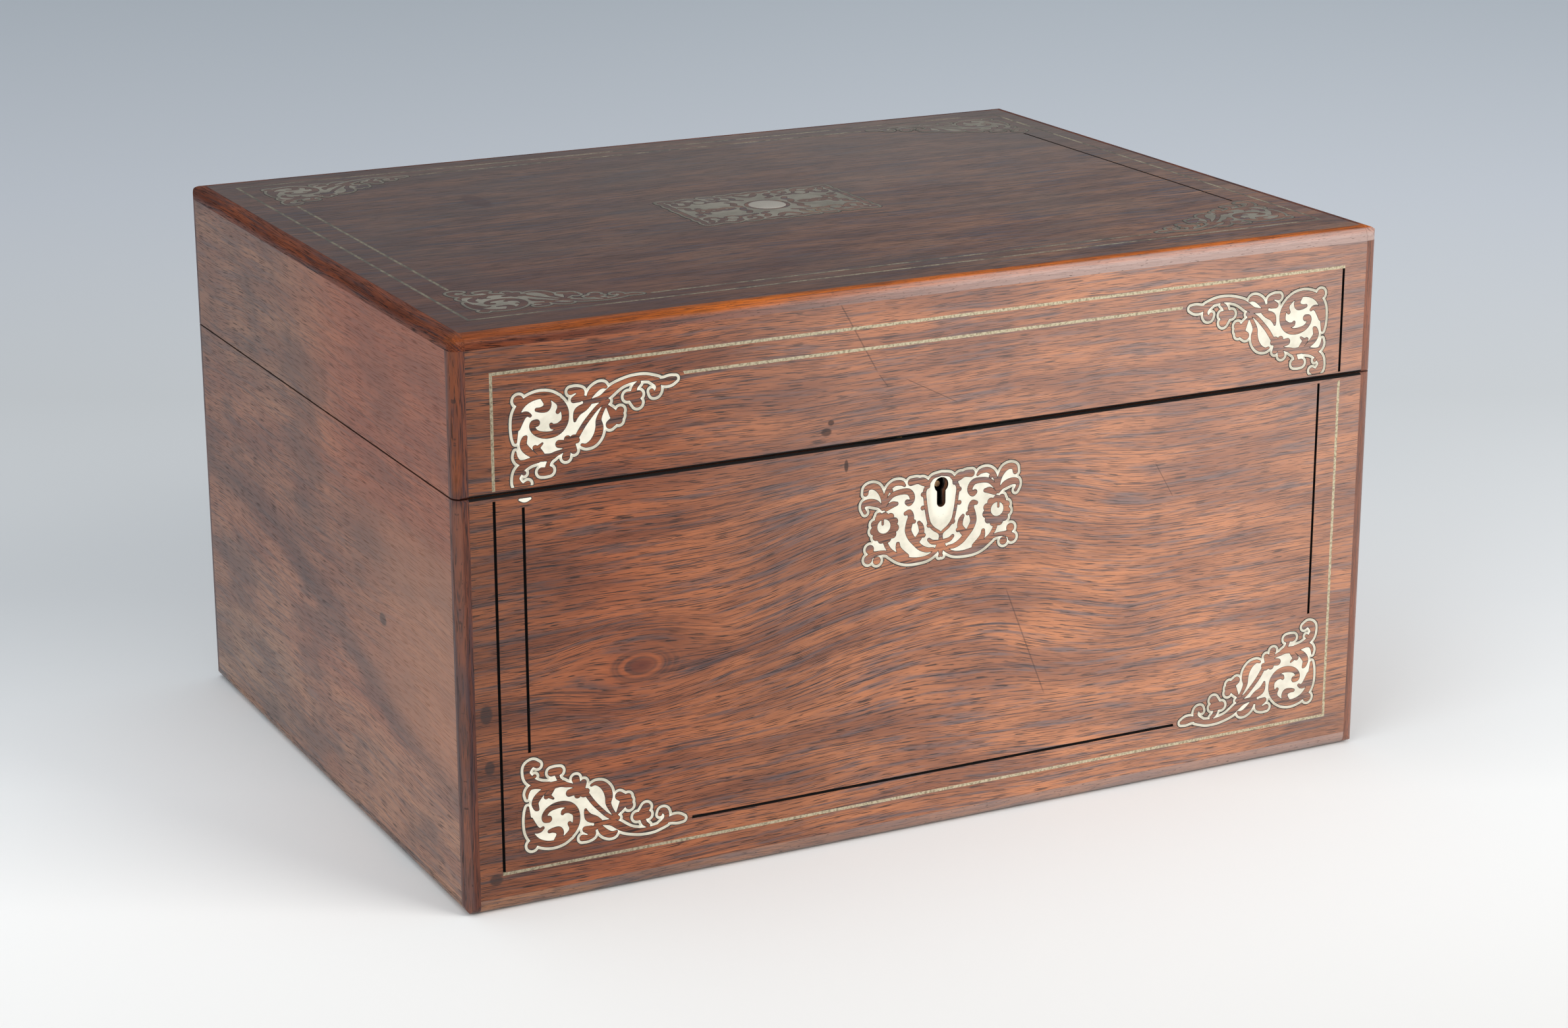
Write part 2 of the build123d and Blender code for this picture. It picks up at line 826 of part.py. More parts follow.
def link_plate():
    """The lid's lock plate with two eyes that drop into the lock."""
    half = selvedge_width / 2
    plate = block(lock_x - half, lock_x + half, wood_front, room_front, lid_rim, lid_rim + selvedge_thickness)
    middle = lock_inner_face() + lock_depth / 2
    foot = lid_rim - eye_drop
    hole_foot = eye_hole_foot()
    hole_half = eye_width / 2 - eye_rim + eye_play / 2
    for side in (-1, 1):
        x = lock_x + side * eye_offset
        x_low, x_high = x - eye_thickness / 2, x + eye_thickness / 2
        plate += block(x_low, x_high, middle - eye_width / 2, middle + eye_width / 2, foot, lid_rim)
        plate -= block(x_low, x_high, middle - hole_half, middle + hole_half, hole_foot, hole_foot + eye_hole)
    return plate


def link_plate_room():
    """The cut for the link plate in the lid's rim facing."""
    half = selvedge_width / 2
    return block(lock_x - half, lock_x + half, wood_front, room_front, lid_rim, lid_rim + selvedge_thickness)


# Tray
tray_top = base_rim - tray_drop
tray_foot = tray_top - tray_height
tray_left = room_left + lining_thickness + tray_play
tray_right = room_right - lining_thickness - tray_play
tray_front = room_front + lining_thickness + tray_play
tray_back = room_back - lining_thickness - tray_play
cell_left = tray_left + tray_wall
cell_right = tray_right - tray_wall
cell_front = tray_front + tray_wall
cell_back = tray_back - tray_wall
cell_floor = tray_foot + tray_floor_thickness
divider_top = tray_top - divider_drop
jar_cell = jar_size + 2 * jar_play
left_divider = cell_left + jar_cell
right_divider = cell_right - jar_cell - divider_thickness
front_divider = cell_front + jar_cell
back_divider = cell_back - jar_cell - divider_thickness


def tray_walls():
    """Four mitred walls, the two end ones with a notch for the fingers."""
    frame = mitred_frame(tray_left, tray_right, tray_front, tray_back, tray_wall, cell_floor, tray_top)
    middle = (tray_front + tray_back) / 2
    notch_bar = Cylinder(lift_notch_radius, case_width, rotation=(0, 90, 0))
    notch = Pos(0, middle, tray_top) * notch_bar
    return group([strip - notch for strip in frame])


def tray_dividers():
    """Two long dividers from front to back, and short ones across between them and the walls."""
    z_low, z_high = cell_floor, divider_top
    strips = []
    for x in (left_divider, right_divider):
        strips.append(block(x, x + divider_thickness, cell_front, cell_back, z_low, z_high))
    middle_left = left_divider + divider_thickness
    for y in (front_divider, back_divider):
        far = y + divider_thickness
        strips.append(block(cell_left, left_divider, y, far, z_low, z_high))
        strips.append(block(middle_left, right_divider, y, far, z_low, z_high))
        strips.append(block(right_divider + divider_thickness, cell_right, y, far, z_low, z_high))
    return group(strips)


def tray_velvet():
    """Velvet-covered cards on the floors of the five open cells."""
    z_low, z_high = cell_floor, cell_floor + tray_velvet_thickness
    middle_left = left_divider + divider_thickness
    rows = [
        (cell_front, front_divider),
        (front_divider + divider_thickness, back_divider),
        (back_divider + divider_thickness, cell_back),
    ]
    cards = [block(middle_left, right_divider, low, high, z_low, z_high) for low, high in rows]
    low, high = rows[1]
    cards.append(block(cell_left, left_divider, low, high, z_low, z_high))
    cards.append(block(right_divider + divider_thickness, cell_right, low, high, z_low, z_high))
    return group(cards)


def tray_bearers():
    """Two strips on the side walls that the tray stands on."""
    z_high = tray_foot - bearer_gap
    z_low = z_high - bearer_height
    y_low, y_high = room_front + lining_thickness, room_back - lining_thickness
    x_left = room_left + lining_thickness
    x_right = room_right - lining_thickness
    return group(
        [
            block(x_left, x_left + bearer_width, y_low, y_high, z_low, z_high),
            block(x_right - bearer_width, x_right, y_low, y_high, z_low, z_high),
        ]
    )


# Jars
jar_foot = cell_floor + bearer_gap
jar_mouth = jar_foot + jar_height


def bevelled_square(size, bevel):
    """A square with its four corners cut off."""
    return chamfer(Rectangle(size, size).vertices(), bevel)


def jar(x, y):
    """A square glass jar with cut corners, open at the top."""
    body = extrude(Pos(x, y, jar_foot) * bevelled_square(jar_size, jar_bevel), jar_height)
    inside = bevelled_square(jar_size - 2 * jar_wall, jar_bevel - jar_wall / 2)
    return body - extrude(Pos(x, y, jar_foot + jar_wall) * inside, jar_height)


def jar_lid(x, y):
    """A plated lid with bevelled edges and a plug that drops into the jar's mouth."""
    seat = jar_mouth + jar_lid_gap
    size = jar_size + 2 * jar_lid_overhang
    plate = extrude(Pos(x, y, seat) * bevelled_square(size, jar_bevel), jar_lid_thickness)
    plate = chamfer(plate.faces().sort_by(Axis.Z)[-1].edges(), jar_lid_bevel)
    plug_size = jar_size - 2 * jar_wall - 2 * jar_plug_play
    plug = bevelled_square(plug_size, jar_bevel - jar_wall / 2)
    return plate + extrude(Pos(x, y, seat - jar_plug) * plug, jar_plug)


def jar_places():
    """Middle of each corner cell of the tray, by the jar's name."""
    x_low, x_high = cell_left + jar_cell / 2, cell_right - jar_cell / 2
    y_low, y_high = cell_front + jar_cell / 2, cell_back - jar_cell / 2
    return {
        "front_left_jar": (x_low, y_low),
        "front_right_jar": (x_high, y_low),
        "back_left_jar": (x_low, y_high),
        "back_right_jar": (x_high, y_high),
    }


# Linings and mirror
def wall_lining(z_low, z_high):
    """Four velvet-covered cards round the inside of the walls."""
    frame = mitred_frame(room_left, room_right, room_front, room_back, lining_thickness, z_low, z_high)
    return group(frame)


mirror_frame_foot = ceiling - mirror_frame_depth
mirror_face = mirror_frame_foot + mirror_setback


def mirror_frame():
    """Four mitred strips against the lid's ceiling, rebated to hold the mirror."""
    x_low, x_high = room_left + lining_thickness, room_right - lining_thickness
    y_low, y_high = room_front + lining_thickness, room_back - lining_thickness
    frame = mitred_frame(x_low, x_high, y_low, y_high, mirror_frame_width, mirror_frame_foot, ceiling)
    inset = mirror_frame_width - mirror_lip
    rebate = block(x_low + inset, x_high - inset, y_low + inset, y_high - inset, mirror_face, ceiling)
    return group([strip - rebate for strip in frame])


def mirror_plate():
    """The mirror, held by the rebate, with its backing up to the ceiling."""
    inset = lining_thickness + mirror_frame_width - mirror_lip + mirror_play
    plate = block(
        room_left + inset,
        room_right - inset,
        room_front + inset,
        room_back - inset,
        mirror_face,
        mirror_face + mirror_thickness,
    )
    return plate


def mirror_back():
    """The thin board between the mirror and the lid's ceiling."""
    inset = lining_thickness + mirror_frame_width - mirror_lip + mirror_play
    return block(
        room_left + inset,
        room_right - inset,
        room_front + inset,
        room_back - inset,
        mirror_face + mirror_thickness,
        ceiling,
    )


def cut_all(shape, cuts):
    """A solid less each of a list of others."""
    for cut in cuts:
        shape = shape - cut
    return shape


def build_base(nodes, form, bars, ease):
    """The base: boards, veneers, edging, facing, inlay, lock, linings and hinge leaves."""
    room = [*bars, *hinge_room()]
    mortises = leaf_mortises(base_rim, -hinge_leaf_thickness)
    lock_room = lock_mortise()
    hole = keyhole_cut()
    spandrels = base_spandrels()
    sliver, sliver_pocket = spandrel_sliver()
    fret, plate, escutcheon_pocket = escutcheon()
    kept, lost = base_front_lines()

    front_board = block(wood_left, wood_right, wood_front, room_front, bottom_thickness, base_wall_top)
    nodes["base_front_board"] = cut_all(front_board, [*room, lock_room, hole])
    back_board = block(wood_left, wood_right, room_back, wood_back, bottom_thickness, base_wall_top)
    nodes["base_back_board"] = cut_all(back_board, [*room, *mortises])
    sides = [
        block(wood_left, room_left, room_front, room_back, bottom_thickness, base_wall_top),
        block(room_right, wood_right, room_front, room_back, bottom_thickness, base_wall_top),
    ]
    nodes["base_side_boards"] = group(sides)
    floor = block(wood_left, wood_right, wood_front, wood_back, 0, bottom_thickness)
    nodes["bottom_board"] = cut_all(floor, bars)

    x_low, x_high = left + edging_width, right - edging_width
    y_low, y_high = front + edging_width, back - edging_width
    front_sheet = block(x_low, x_high, front, wood_front, edging_width, base_rim) - ease
    pockets = [pocket for pearl, pocket in spandrels]
    cuts = [*pockets, sliver_pocket, escutcheon_pocket, *kept, *lost, hole]
    nodes["base_front_veneer"] = cut_all(front_sheet, cuts)
    back_sheet = block(x_low, x_high, wood_back, back, edging_width, base_rim)
    nodes["base_back_veneer"] = cut_all(back_sheet, [*hinge_room(), *mortises])
    side_sheets = [
        block(left, wood_left, y_low, y_high, edging_width, base_rim),
        block(wood_right, right, y_low, y_high, edging_width, base_rim),
    ]
    nodes["base_side_veneers"] = group(side_sheets)

    facing = mitred_frame(wood_left, wood_right, wood_front, wood_back, wall_thickness, base_wall_top, base_rim)
    nodes["base_rim_facing"] = group([cut_all(strip, [*room, *mortises, lock_room]) for strip in facing])
    nodes["base_bottom_edging"] = level_edging(form, 0, y_low, y_high)
    nodes["base_corner_edging"] = corner_edging(form, ease, 0, base_rim)

    nodes["base_spandrels"] = group([pearl for pearl, pocket in spandrels])
    nodes["spandrel_sliver"] = sliver
    nodes["escutcheon_fret"] = group([fret])
    nodes["keyhole_plate"] = plate
    nodes["base_stringing"] = group(kept)

    nodes["lock_case"] = lock_case()
    nodes["lock_pin"] = lock_pin()
    nodes["lock_bolt"] = lock_bolt()
    spans = [(x, knuckle_spans(x)) for x in hinge_places()]
    leaves = [hinge_leaf(x, base_rim, -hinge_leaf_thickness, [span[0], span[2]]) for x, span in spans]
    nodes["base_hinge_leaves"] = group(leaves)
    nodes["hinge_pins"] = group([hinge_pin(x) for x in hinge_places()])

    lining_foot = bottom_thickness + floor_lining_thickness
    nodes["well_floor_lining"] = block(
        room_left, room_right, room_front, room_back, bottom_thickness, lining_foot
    )
    nodes["well_wall_lining"] = wall_lining(lining_foot, base_wall_top)
    nodes["tray_bearers"] = tray_bearers()


def build_lid(nodes, form, bars, ease):
    """The lid: boards, veneers, edging, facing, inlay, link plate, hinge leaves, lining and mirror."""
    room = [*bars, *hinge_room()]
    mortises = leaf_mortises(lid_rim, hinge_leaf_thickness)
    front_spandrels = lid_front_spandrels()
    corner_spandrels = lid_top_spandrels()
    cartouche, cartouche_pocket = top_cartouche()
    front_kept, front_lost = lid_front_lines()
    top_kept, top_lost = top_lines()

    front_board = block(wood_left, wood_right, wood_front, room_front, lid_wall_foot, ceiling)
    nodes["lid_front_board"] = cut_all(front_board, bars)
    back_board = block(wood_left, wood_right, room_back, wood_back, lid_wall_foot, ceiling)
    nodes["lid_back_board"] = cut_all(back_board, [*room, *mortises])
    sides = [
        block(wood_left, room_left, room_front, room_back, lid_wall_foot, ceiling),
        block(room_right, wood_right, room_front, room_back, lid_wall_foot, ceiling),
    ]
    nodes["lid_side_boards"] = group(sides)
    cover = block(wood_left, wood_right, wood_front, wood_back, ceiling, top_board_top)
    nodes["lid_top_board"] = cut_all(cover, bars)

    x_low, x_high = left + edging_width, right - edging_width
    y_low, y_high = front + edging_width, back - edging_width
    z_high = top - edging_width
    top_sheet = block(x_low, x_high, y_low, y_high, top_board_top, top)
    top_pockets = [pocket for pearl, pocket in corner_spandrels]
    nodes["lid_top_veneer"] = cut_all(top_sheet, [*top_pockets, cartouche_pocket, *top_kept, *top_lost])
    front_sheet = block(x_low, x_high, front, wood_front, lid_rim, z_high) - ease
    front_pockets = [pocket for pearl, pocket in front_spandrels]
    nodes["lid_front_veneer"] = cut_all(front_sheet, [*front_pockets, *front_kept, *front_lost])
    back_sheet = block(x_low, x_high, wood_back, back, lid_rim, z_high)
    nodes["lid_back_veneer"] = cut_all(back_sheet, [*hinge_room(), *mortises])
    side_sheets = [
        block(left, wood_left, y_low, y_high, lid_rim, z_high),
        block(wood_right, right, y_low, y_high, lid_rim, z_high),
    ]
    nodes["lid_side_veneers"] = group(side_sheets)

    facing = mitred_frame(wood_left, wood_right, wood_front, wood_back, wall_thickness, lid_rim, lid_wall_foot)
    facing_cuts = [*room, *mortises, link_plate_room()]
    nodes["lid_rim_facing"] = group([cut_all(strip, facing_cuts) for strip in facing])
    nodes["lid_top_edging"] = level_edging(form, z_high, front, back)
    nodes["lid_corner_edging"] = corner_edging(form, ease, lid_rim, z_high)

    nodes["lid_front_spandrels"] = group([pearl for pearl, pocket in front_spandrels])
    nodes["lid_top_spandrels"] = group([pearl for pearl, pocket in corner_spandrels])
    nodes["top_cartouche"] = group([cartouche])
    nodes["lid_stringing"] = group([*front_kept, *top_kept])

    nodes["link_plate"] = link_plate()
    spans = [(x, knuckle_spans(x)) for x in hinge_places()]
    leaves = [hinge_leaf(x, lid_rim, hinge_leaf_thickness, [span[1]]) for x, span in spans]
    nodes["lid_hinge_leaves"] = group(leaves)
    nodes["lid_wall_lining"] = wall_lining(lid_wall_foot, ceiling)
    nodes["mirror_frame"] = mirror_frame()
    nodes["mirror_glass"] = mirror_plate()
    nodes["mirror_back"] = mirror_back()


def build_tray(nodes):
    """The tray and the four jars that stand in its corners."""
    nodes["tray_floor"] = block(tray_left, tray_right, tray_front, tray_back, tray_foot, cell_floor)
    nodes["tray_walls"] = tray_walls()
    nodes["tray_dividers"] = tray_dividers()
    nodes["tray_velvet"] = tray_velvet()
    for name, (x, y) in jar_places().items():
        nodes[name] = jar(x, y)
        nodes[f"{name}_lid"] = jar_lid(x, y)


def main():
    """Builds every piece and writes each to its own file."""
    os.makedirs("parts", exist_ok=True)
    form = case_form()
    bars = edging_bars()
    ease = front_joint_ease()
    nodes = {}
    build_base(nodes, form, bars, ease)
    build_lid(nodes, form, bars, ease)
    build_tray(nodes)
    for name, shape in nodes.items():
        export_step(shape, f"parts/{name}.step")
    print(len(nodes), "pieces")


main()
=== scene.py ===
from functools import reduce
import math
import random

import bmesh
import bpy
import numpy as np
from mathutils import Matrix, Vector


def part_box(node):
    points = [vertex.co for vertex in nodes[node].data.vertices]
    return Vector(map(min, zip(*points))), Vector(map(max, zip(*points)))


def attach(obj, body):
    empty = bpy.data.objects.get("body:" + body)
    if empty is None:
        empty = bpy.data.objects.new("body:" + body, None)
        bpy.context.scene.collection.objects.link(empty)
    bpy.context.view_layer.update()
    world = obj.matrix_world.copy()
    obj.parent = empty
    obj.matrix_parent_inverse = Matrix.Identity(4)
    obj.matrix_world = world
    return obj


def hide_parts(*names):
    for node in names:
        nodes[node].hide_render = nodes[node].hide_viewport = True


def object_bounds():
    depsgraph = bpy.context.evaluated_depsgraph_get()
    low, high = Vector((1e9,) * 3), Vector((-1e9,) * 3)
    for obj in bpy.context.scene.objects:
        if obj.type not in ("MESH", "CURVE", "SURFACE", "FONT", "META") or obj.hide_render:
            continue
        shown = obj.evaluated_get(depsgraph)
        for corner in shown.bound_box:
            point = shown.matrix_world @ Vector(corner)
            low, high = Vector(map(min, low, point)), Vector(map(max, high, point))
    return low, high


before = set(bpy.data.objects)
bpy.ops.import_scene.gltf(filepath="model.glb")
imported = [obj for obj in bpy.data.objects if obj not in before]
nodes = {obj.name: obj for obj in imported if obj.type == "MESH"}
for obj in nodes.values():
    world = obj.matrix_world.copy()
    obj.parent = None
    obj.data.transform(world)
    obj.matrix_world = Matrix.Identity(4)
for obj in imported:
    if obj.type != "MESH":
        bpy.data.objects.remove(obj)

solid_box = [list(corner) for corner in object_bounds()]

# Places on the case, in metres
MM = 0.001
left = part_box("base_side_veneers")[0].x
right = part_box("base_side_veneers")[1].x
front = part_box("base_front_veneer")[0].y
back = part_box("base_back_veneer")[1].y
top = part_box("lid_top_veneer")[1].z
seam = (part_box("base_rim_facing")[1].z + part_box("lid_rim_facing")[0].z) / 2

# Sizes of the case, in millimetres
case_width = (right - left) / MM
case_depth = (back - front) / MM
case_height = top / MM
edging_width = 4.2

# How far the layers of the inlay stand on the face, in millimetres
layer_rises = {
    "ground": 0.03,
    "mastic": 0.07,
    "infill": 0.10,
    "pearl": 0.12,
    "rim": 0.125,
}

# Where the inlay's drawings start, in millimetres from the edges named and from the foot or the top
base_spandrel_left = 17.2
base_spandrel_right = 16.2
base_spandrel_foot = 15.3
lid_spandrel_left = 16.4
lid_spandrel_left_drop = 16.6
lid_spandrel_right = 17.8
lid_spandrel_right_drop = 15.8
lid_face_ease = 0.7
lid_pearl_trim = 0.9
top_spandrel_left = 16.8
top_spandrel_right = 14.8
top_spandrel_front = 20.4
top_spandrel_back = 16.8
escutcheon_left = 151.9
escutcheon_drop = 84.8
shield_glow = ((151.9, 104.0), (4.4, 9.0))

# Screw heads, in millimetres
screw_rise = 0.12
hinge_screw_radius = 1.6
hinge_screw_gap = 14.0
hinge_screw_inset = 2.9
lock_screw_radius = 1.9
lock_screw_reach = 23.0

# Boss and pads, in millimetres
boss_radius = 6.0
boss_rise = 0.4
base_pad_crown = 0.95
lid_pad_crown = 0.98
pad_step = 4.0

# Inlay drawing: strokes of wood let into pearl, in steps of a twenty-eighth of a millimetre
drawing_scale = 1 / 28
drawing_step = 4.0
drawing_margin = 90.0
stroke_steps = 6
thinnest_stroke = 2.0
loop_tolerance = 0.3
wood_growth = 5.0
pearl_rim = 22.0
rim_blur = 3.0
rim_share = 0.95
nick_share = 0.05
nick_sizes = (3.0, 6.5)
mastic_width = 7.0
wood_gap = 4.5
ground_width = 44.0

spandrel_strokes = [
    [(205, 125, 22), (165, 105, 25), (125, 130, 30), (112, 180, 22), (130, 225, 28), (165, 262, 25),
     (230, 290, 18), (300, 300, 14)],
    [(178, 215, 14)],
    [(112, 392, 3), (112, 350, 12), (135, 312, 14), (180, 300, 18), (250, 310, 22), (330, 318, 26),
     (400, 315, 26), (450, 335, 18), (500, 350, 12), (545, 372, 12)],
    [(330, 305, 14), (265, 345, 20), (205, 395, 28), (178, 440, 26), (188, 485, 20), (200, 500, 10)],
    [(345, 310, 20), (320, 355, 20), (295, 385, 22), (275, 405, 18)],
    [(295, 400, 14), (335, 432, 5)],
    [(325, 208, 30), (355, 205, 30), (388, 208, 30)],
    [(372, 240, 14), (385, 275, 12), (410, 305, 12)],
    [(555, 395, 40)],
    [(530, 300, 30), (548, 360, 22)],
    [(597, 342, 24), (585, 380, 25)],
    [(475, 410, 28), (530, 400, 30)],
    [(545, 440, 25)],
    [(600, 430, 35)],
    [(625, 420, 20)],
    [(620, 440, 16), (680, 530, 16), (740, 600, 15), (800, 660, 14), (860, 700, 14)],
    [(665, 378, 8), (705, 368, 14), (760, 390, 26), (800, 440, 32), (815, 500, 30), (810, 560, 20),
     (835, 620, 14), (865, 670, 14), (890, 700, 16)],
    [(610, 578, 8), (618, 610, 18), (640, 650, 30), (690, 675, 28), (735, 695, 12)],
    [(605, 745, 22), (650, 760, 35)],
    [(580, 815, 24), (625, 820, 20), (665, 800, 25), (650, 760, 35)],
    [(690, 745, 20)],
    [(700, 712, 14), (780, 718, 18), (840, 730, 24), (890, 760, 30), (940, 795, 28), (1010, 828, 20),
     (1100, 848, 18), (1200, 848, 18), (1280, 832, 14), (1320, 822, 10)],
    [(720, 730, 16), (760, 790, 28), (810, 825, 26), (850, 830, 20), (875, 815, 10)],
    [(905, 512, 32), (985, 570, 34)],
    [(980, 535, 28)],
    [(992, 610, 30)],
    [(945, 575, 35), (915, 620, 22), (885, 660, 8)],
    [(1140, 655, 35), (1100, 705, 30)],
    [(1060, 718, 33), (1150, 720, 30)],
    [(1105, 720, 22), (1120, 780, 18), (1155, 815, 14)],
    [(1262, 735, 16), (1275, 708, 18), (1305, 715, 22), (1322, 750, 18), (1310, 790, 16), (1260, 830, 16)],
    [(1325, 805, 14), (1370, 795, 24), (1420, 800, 28), (1465, 810, 14)],
    [(115, 470, 8), (112, 520, 18), (115, 600, 26), (125, 680, 26), (165, 750, 26), (230, 795, 24),
     (320, 815, 24), (410, 800, 24), (480, 750, 26), (520, 690, 28), (532, 630, 27), (520, 570, 27),
     (480, 520, 26), (420, 495, 24), (350, 497, 24), (290, 520, 20), (258, 560, 20), (262, 595, 24),
     (290, 600, 26)],
    [(135, 580, 20), (150, 630, 30), (180, 670, 26), (215, 680, 16), (240, 665, 10)],
    [(295, 705, 12), (330, 700, 18), (375, 710, 28), (385, 750, 28), (350, 800, 20)],
    [(470, 668, 14), (490, 710, 20), (470, 770, 20)],
    [(412, 572, 12), (425, 555, 18), (470, 555, 20), (510, 580, 20)],
    [(145, 795, 38)],
]
spandrel_size = (1530, 880)
spandrel_zero = (61.6, 884.8)

sliver_stroke = [(10, 8, 8), (54, 14, 20), (98, 8, 10)]
sliver_size = (108, 40)
sliver_middle = 54

escutcheon_half_strokes = [
    [(530, 130, 28), (575, 125, 25), (605, 130, 22), (640, 140, 30), (680, 165, 22), (690, 190, 12)],
    [(700, 150, 12), (735, 115, 12), (812, 100, 10)],
    [(690, 165, 14), (660, 215, 13), (655, 250, 12), (662, 300, 11), (668, 350, 11), (680, 420, 11),
     (700, 500, 11), (740, 555, 11), (800, 600, 10), (815, 650, 14)],
    [(640, 250, 16)],
    [(640, 365, 16)],
    [(700, 520, 18)],
    [(110, 170, 20), (120, 130, 22), (165, 115, 22), (215, 135, 24), (250, 185, 18), (270, 240, 16),
     (275, 300, 16)],
    [(470, 150, 8), (440, 125, 18), (380, 120, 20), (330, 150, 20), (300, 200, 16), (285, 250, 14)],
    [(345, 180, 14)],
    [(105, 330, 12), (85, 290, 12), (100, 255, 22), (150, 250, 26), (200, 265, 26), (240, 290, 16),
     (270, 320, 14)],
    [(270, 320, 14), (310, 260, 16), (360, 215, 18), (430, 200, 20), (500, 205, 22), (535, 240, 22),
     (540, 280, 20), (515, 305, 22), (495, 295, 20)],
    [(300, 330, 14), (350, 300, 24), (395, 295, 14)],
    [(235, 375, 24)],
    [(285, 590, 16), (310, 650, 16), (350, 700, 16), (430, 760, 20)],
    [(150, 650, 34)],
    [(135, 735, 34)],
    [(215, 755, 32)],
    [(165, 700, 30), (200, 695, 18), (280, 695, 14), (340, 715, 14), (400, 745, 16)],
    [(330, 720, 12), (420, 770, 22), (500, 795, 24), (600, 805, 18), (690, 795, 16), (760, 755, 16),
     (800, 700, 20)],
    [(410, 640, 14), (415, 680, 20), (440, 720, 26), (490, 760, 22)],
    [(480, 390, 14), (515, 385, 20), (530, 430, 26), (515, 480, 28), (505, 540, 26), (530, 600, 26),
     (570, 650, 24), (620, 700, 22), (680, 730, 18), (740, 735, 14)],
    [(605, 485, 12), (625, 520, 20), (630, 570, 22), (600, 620, 26), (570, 640, 26)],
    [(560, 470, 14)],
    [(650, 600, 16)],
    [(700, 645, 12), (730, 670, 16), (780, 680, 18), (815, 690, 22)],
    [(815, 720, 24), (812, 780, 12), (800, 800, 8)],
]
daisy_centre = (285, 485)
daisy_petals = 11
daisy_reach = 100
daisy_petal = 31
daisy_eye = (279, 472, 60)
daisy_stem = [(268, 395, 12), (268, 452, 12)]
escutcheon_middle = 812
escutcheon_size = (1624, 880)
escutcheon_zero = (812, 834.4)
keyhole_disc = (812, 190, 66)
keyhole_slot_half = 41
keyhole_slot_end = 380

cartouche_quarter_strokes = [
    [(60, 60, 30), (110, 60, 26), (190, 84, 24), (262, 70, 26), (330, 50, 22)],
    [(50, 100, 24), (64, 180, 22), (54, 250, 26), (62, 330, 22), (50, 430, 24), (56, 560, 20)],
    [(120, 118, 24), (150, 170, 24), (132, 236, 26), (176, 292, 26), (236, 270, 20)],
    [(210, 130, 26), (268, 168, 28), (258, 230, 26)],
    [(330, 50, 22), (392, 96, 26), (398, 170, 26), (352, 218, 22), (306, 190, 16)],
    [(470, 46, 24), (540, 62, 26), (590, 104, 24), (572, 168, 22), (516, 176, 20), (500, 130, 18)],
    [(640, 48, 22), (720, 66, 26), (800, 40, 26), (877, 60, 22)],
    [(660, 128, 24), (704, 188, 26), (690, 256, 24), (748, 300, 22)],
    [(790, 110, 28), (832, 170, 28), (877, 196, 26)],
    [(120, 360, 22), (170, 396, 26), (160, 458, 26), (214, 500, 22), (210, 560, 20)],
    [(420, 250, 22), (470, 232, 24), (522, 250, 22), (572, 232, 24), (630, 268, 20)],
    [(300, 540, 26), (360, 520, 28), (420, 540, 28), (480, 520, 26), (540, 546, 24)],
    [(590, 330, 22), (624, 396, 26), (598, 462, 28), (628, 530, 24), (668, 560, 20)],
    [(250, 440, 24), (256, 492, 22), (300, 540, 26)],
]
cartouche_middle = (877, 560)
cartouche_size = (1754, 1120)
cartouche_boss_field = 205
roundel_place = (373, 213)
roundel_ring = 78
roundel_eye = 52


# Curves and plates
def smooth_stroke(stroke):
    """Points along a stroke, rounded through its marks; the third value is its half width."""
    marks = np.array(stroke, float)
    if len(marks) == 1:
        return marks
    marks = np.vstack([2 * marks[0] - marks[1], marks, 2 * marks[-1] - marks[-2]])
    spots = []
    for index in range(1, len(marks) - 2):
        before, start, end, after = marks[index - 1:index + 3]
        for t in np.arange(stroke_steps) / stroke_steps:
            spots.append(0.5 * (
                2 * start
                + (end - before) * t
                + (2 * before - 5 * start + 4 * end - after) * t**2
                + (3 * start - before - 3 * end + after) * t**3
            ))
    spots.append(marks[-2])
    spots = np.array(spots)
    spots[:, 2] = np.maximum(spots[:, 2], thinnest_stroke)
    return spots


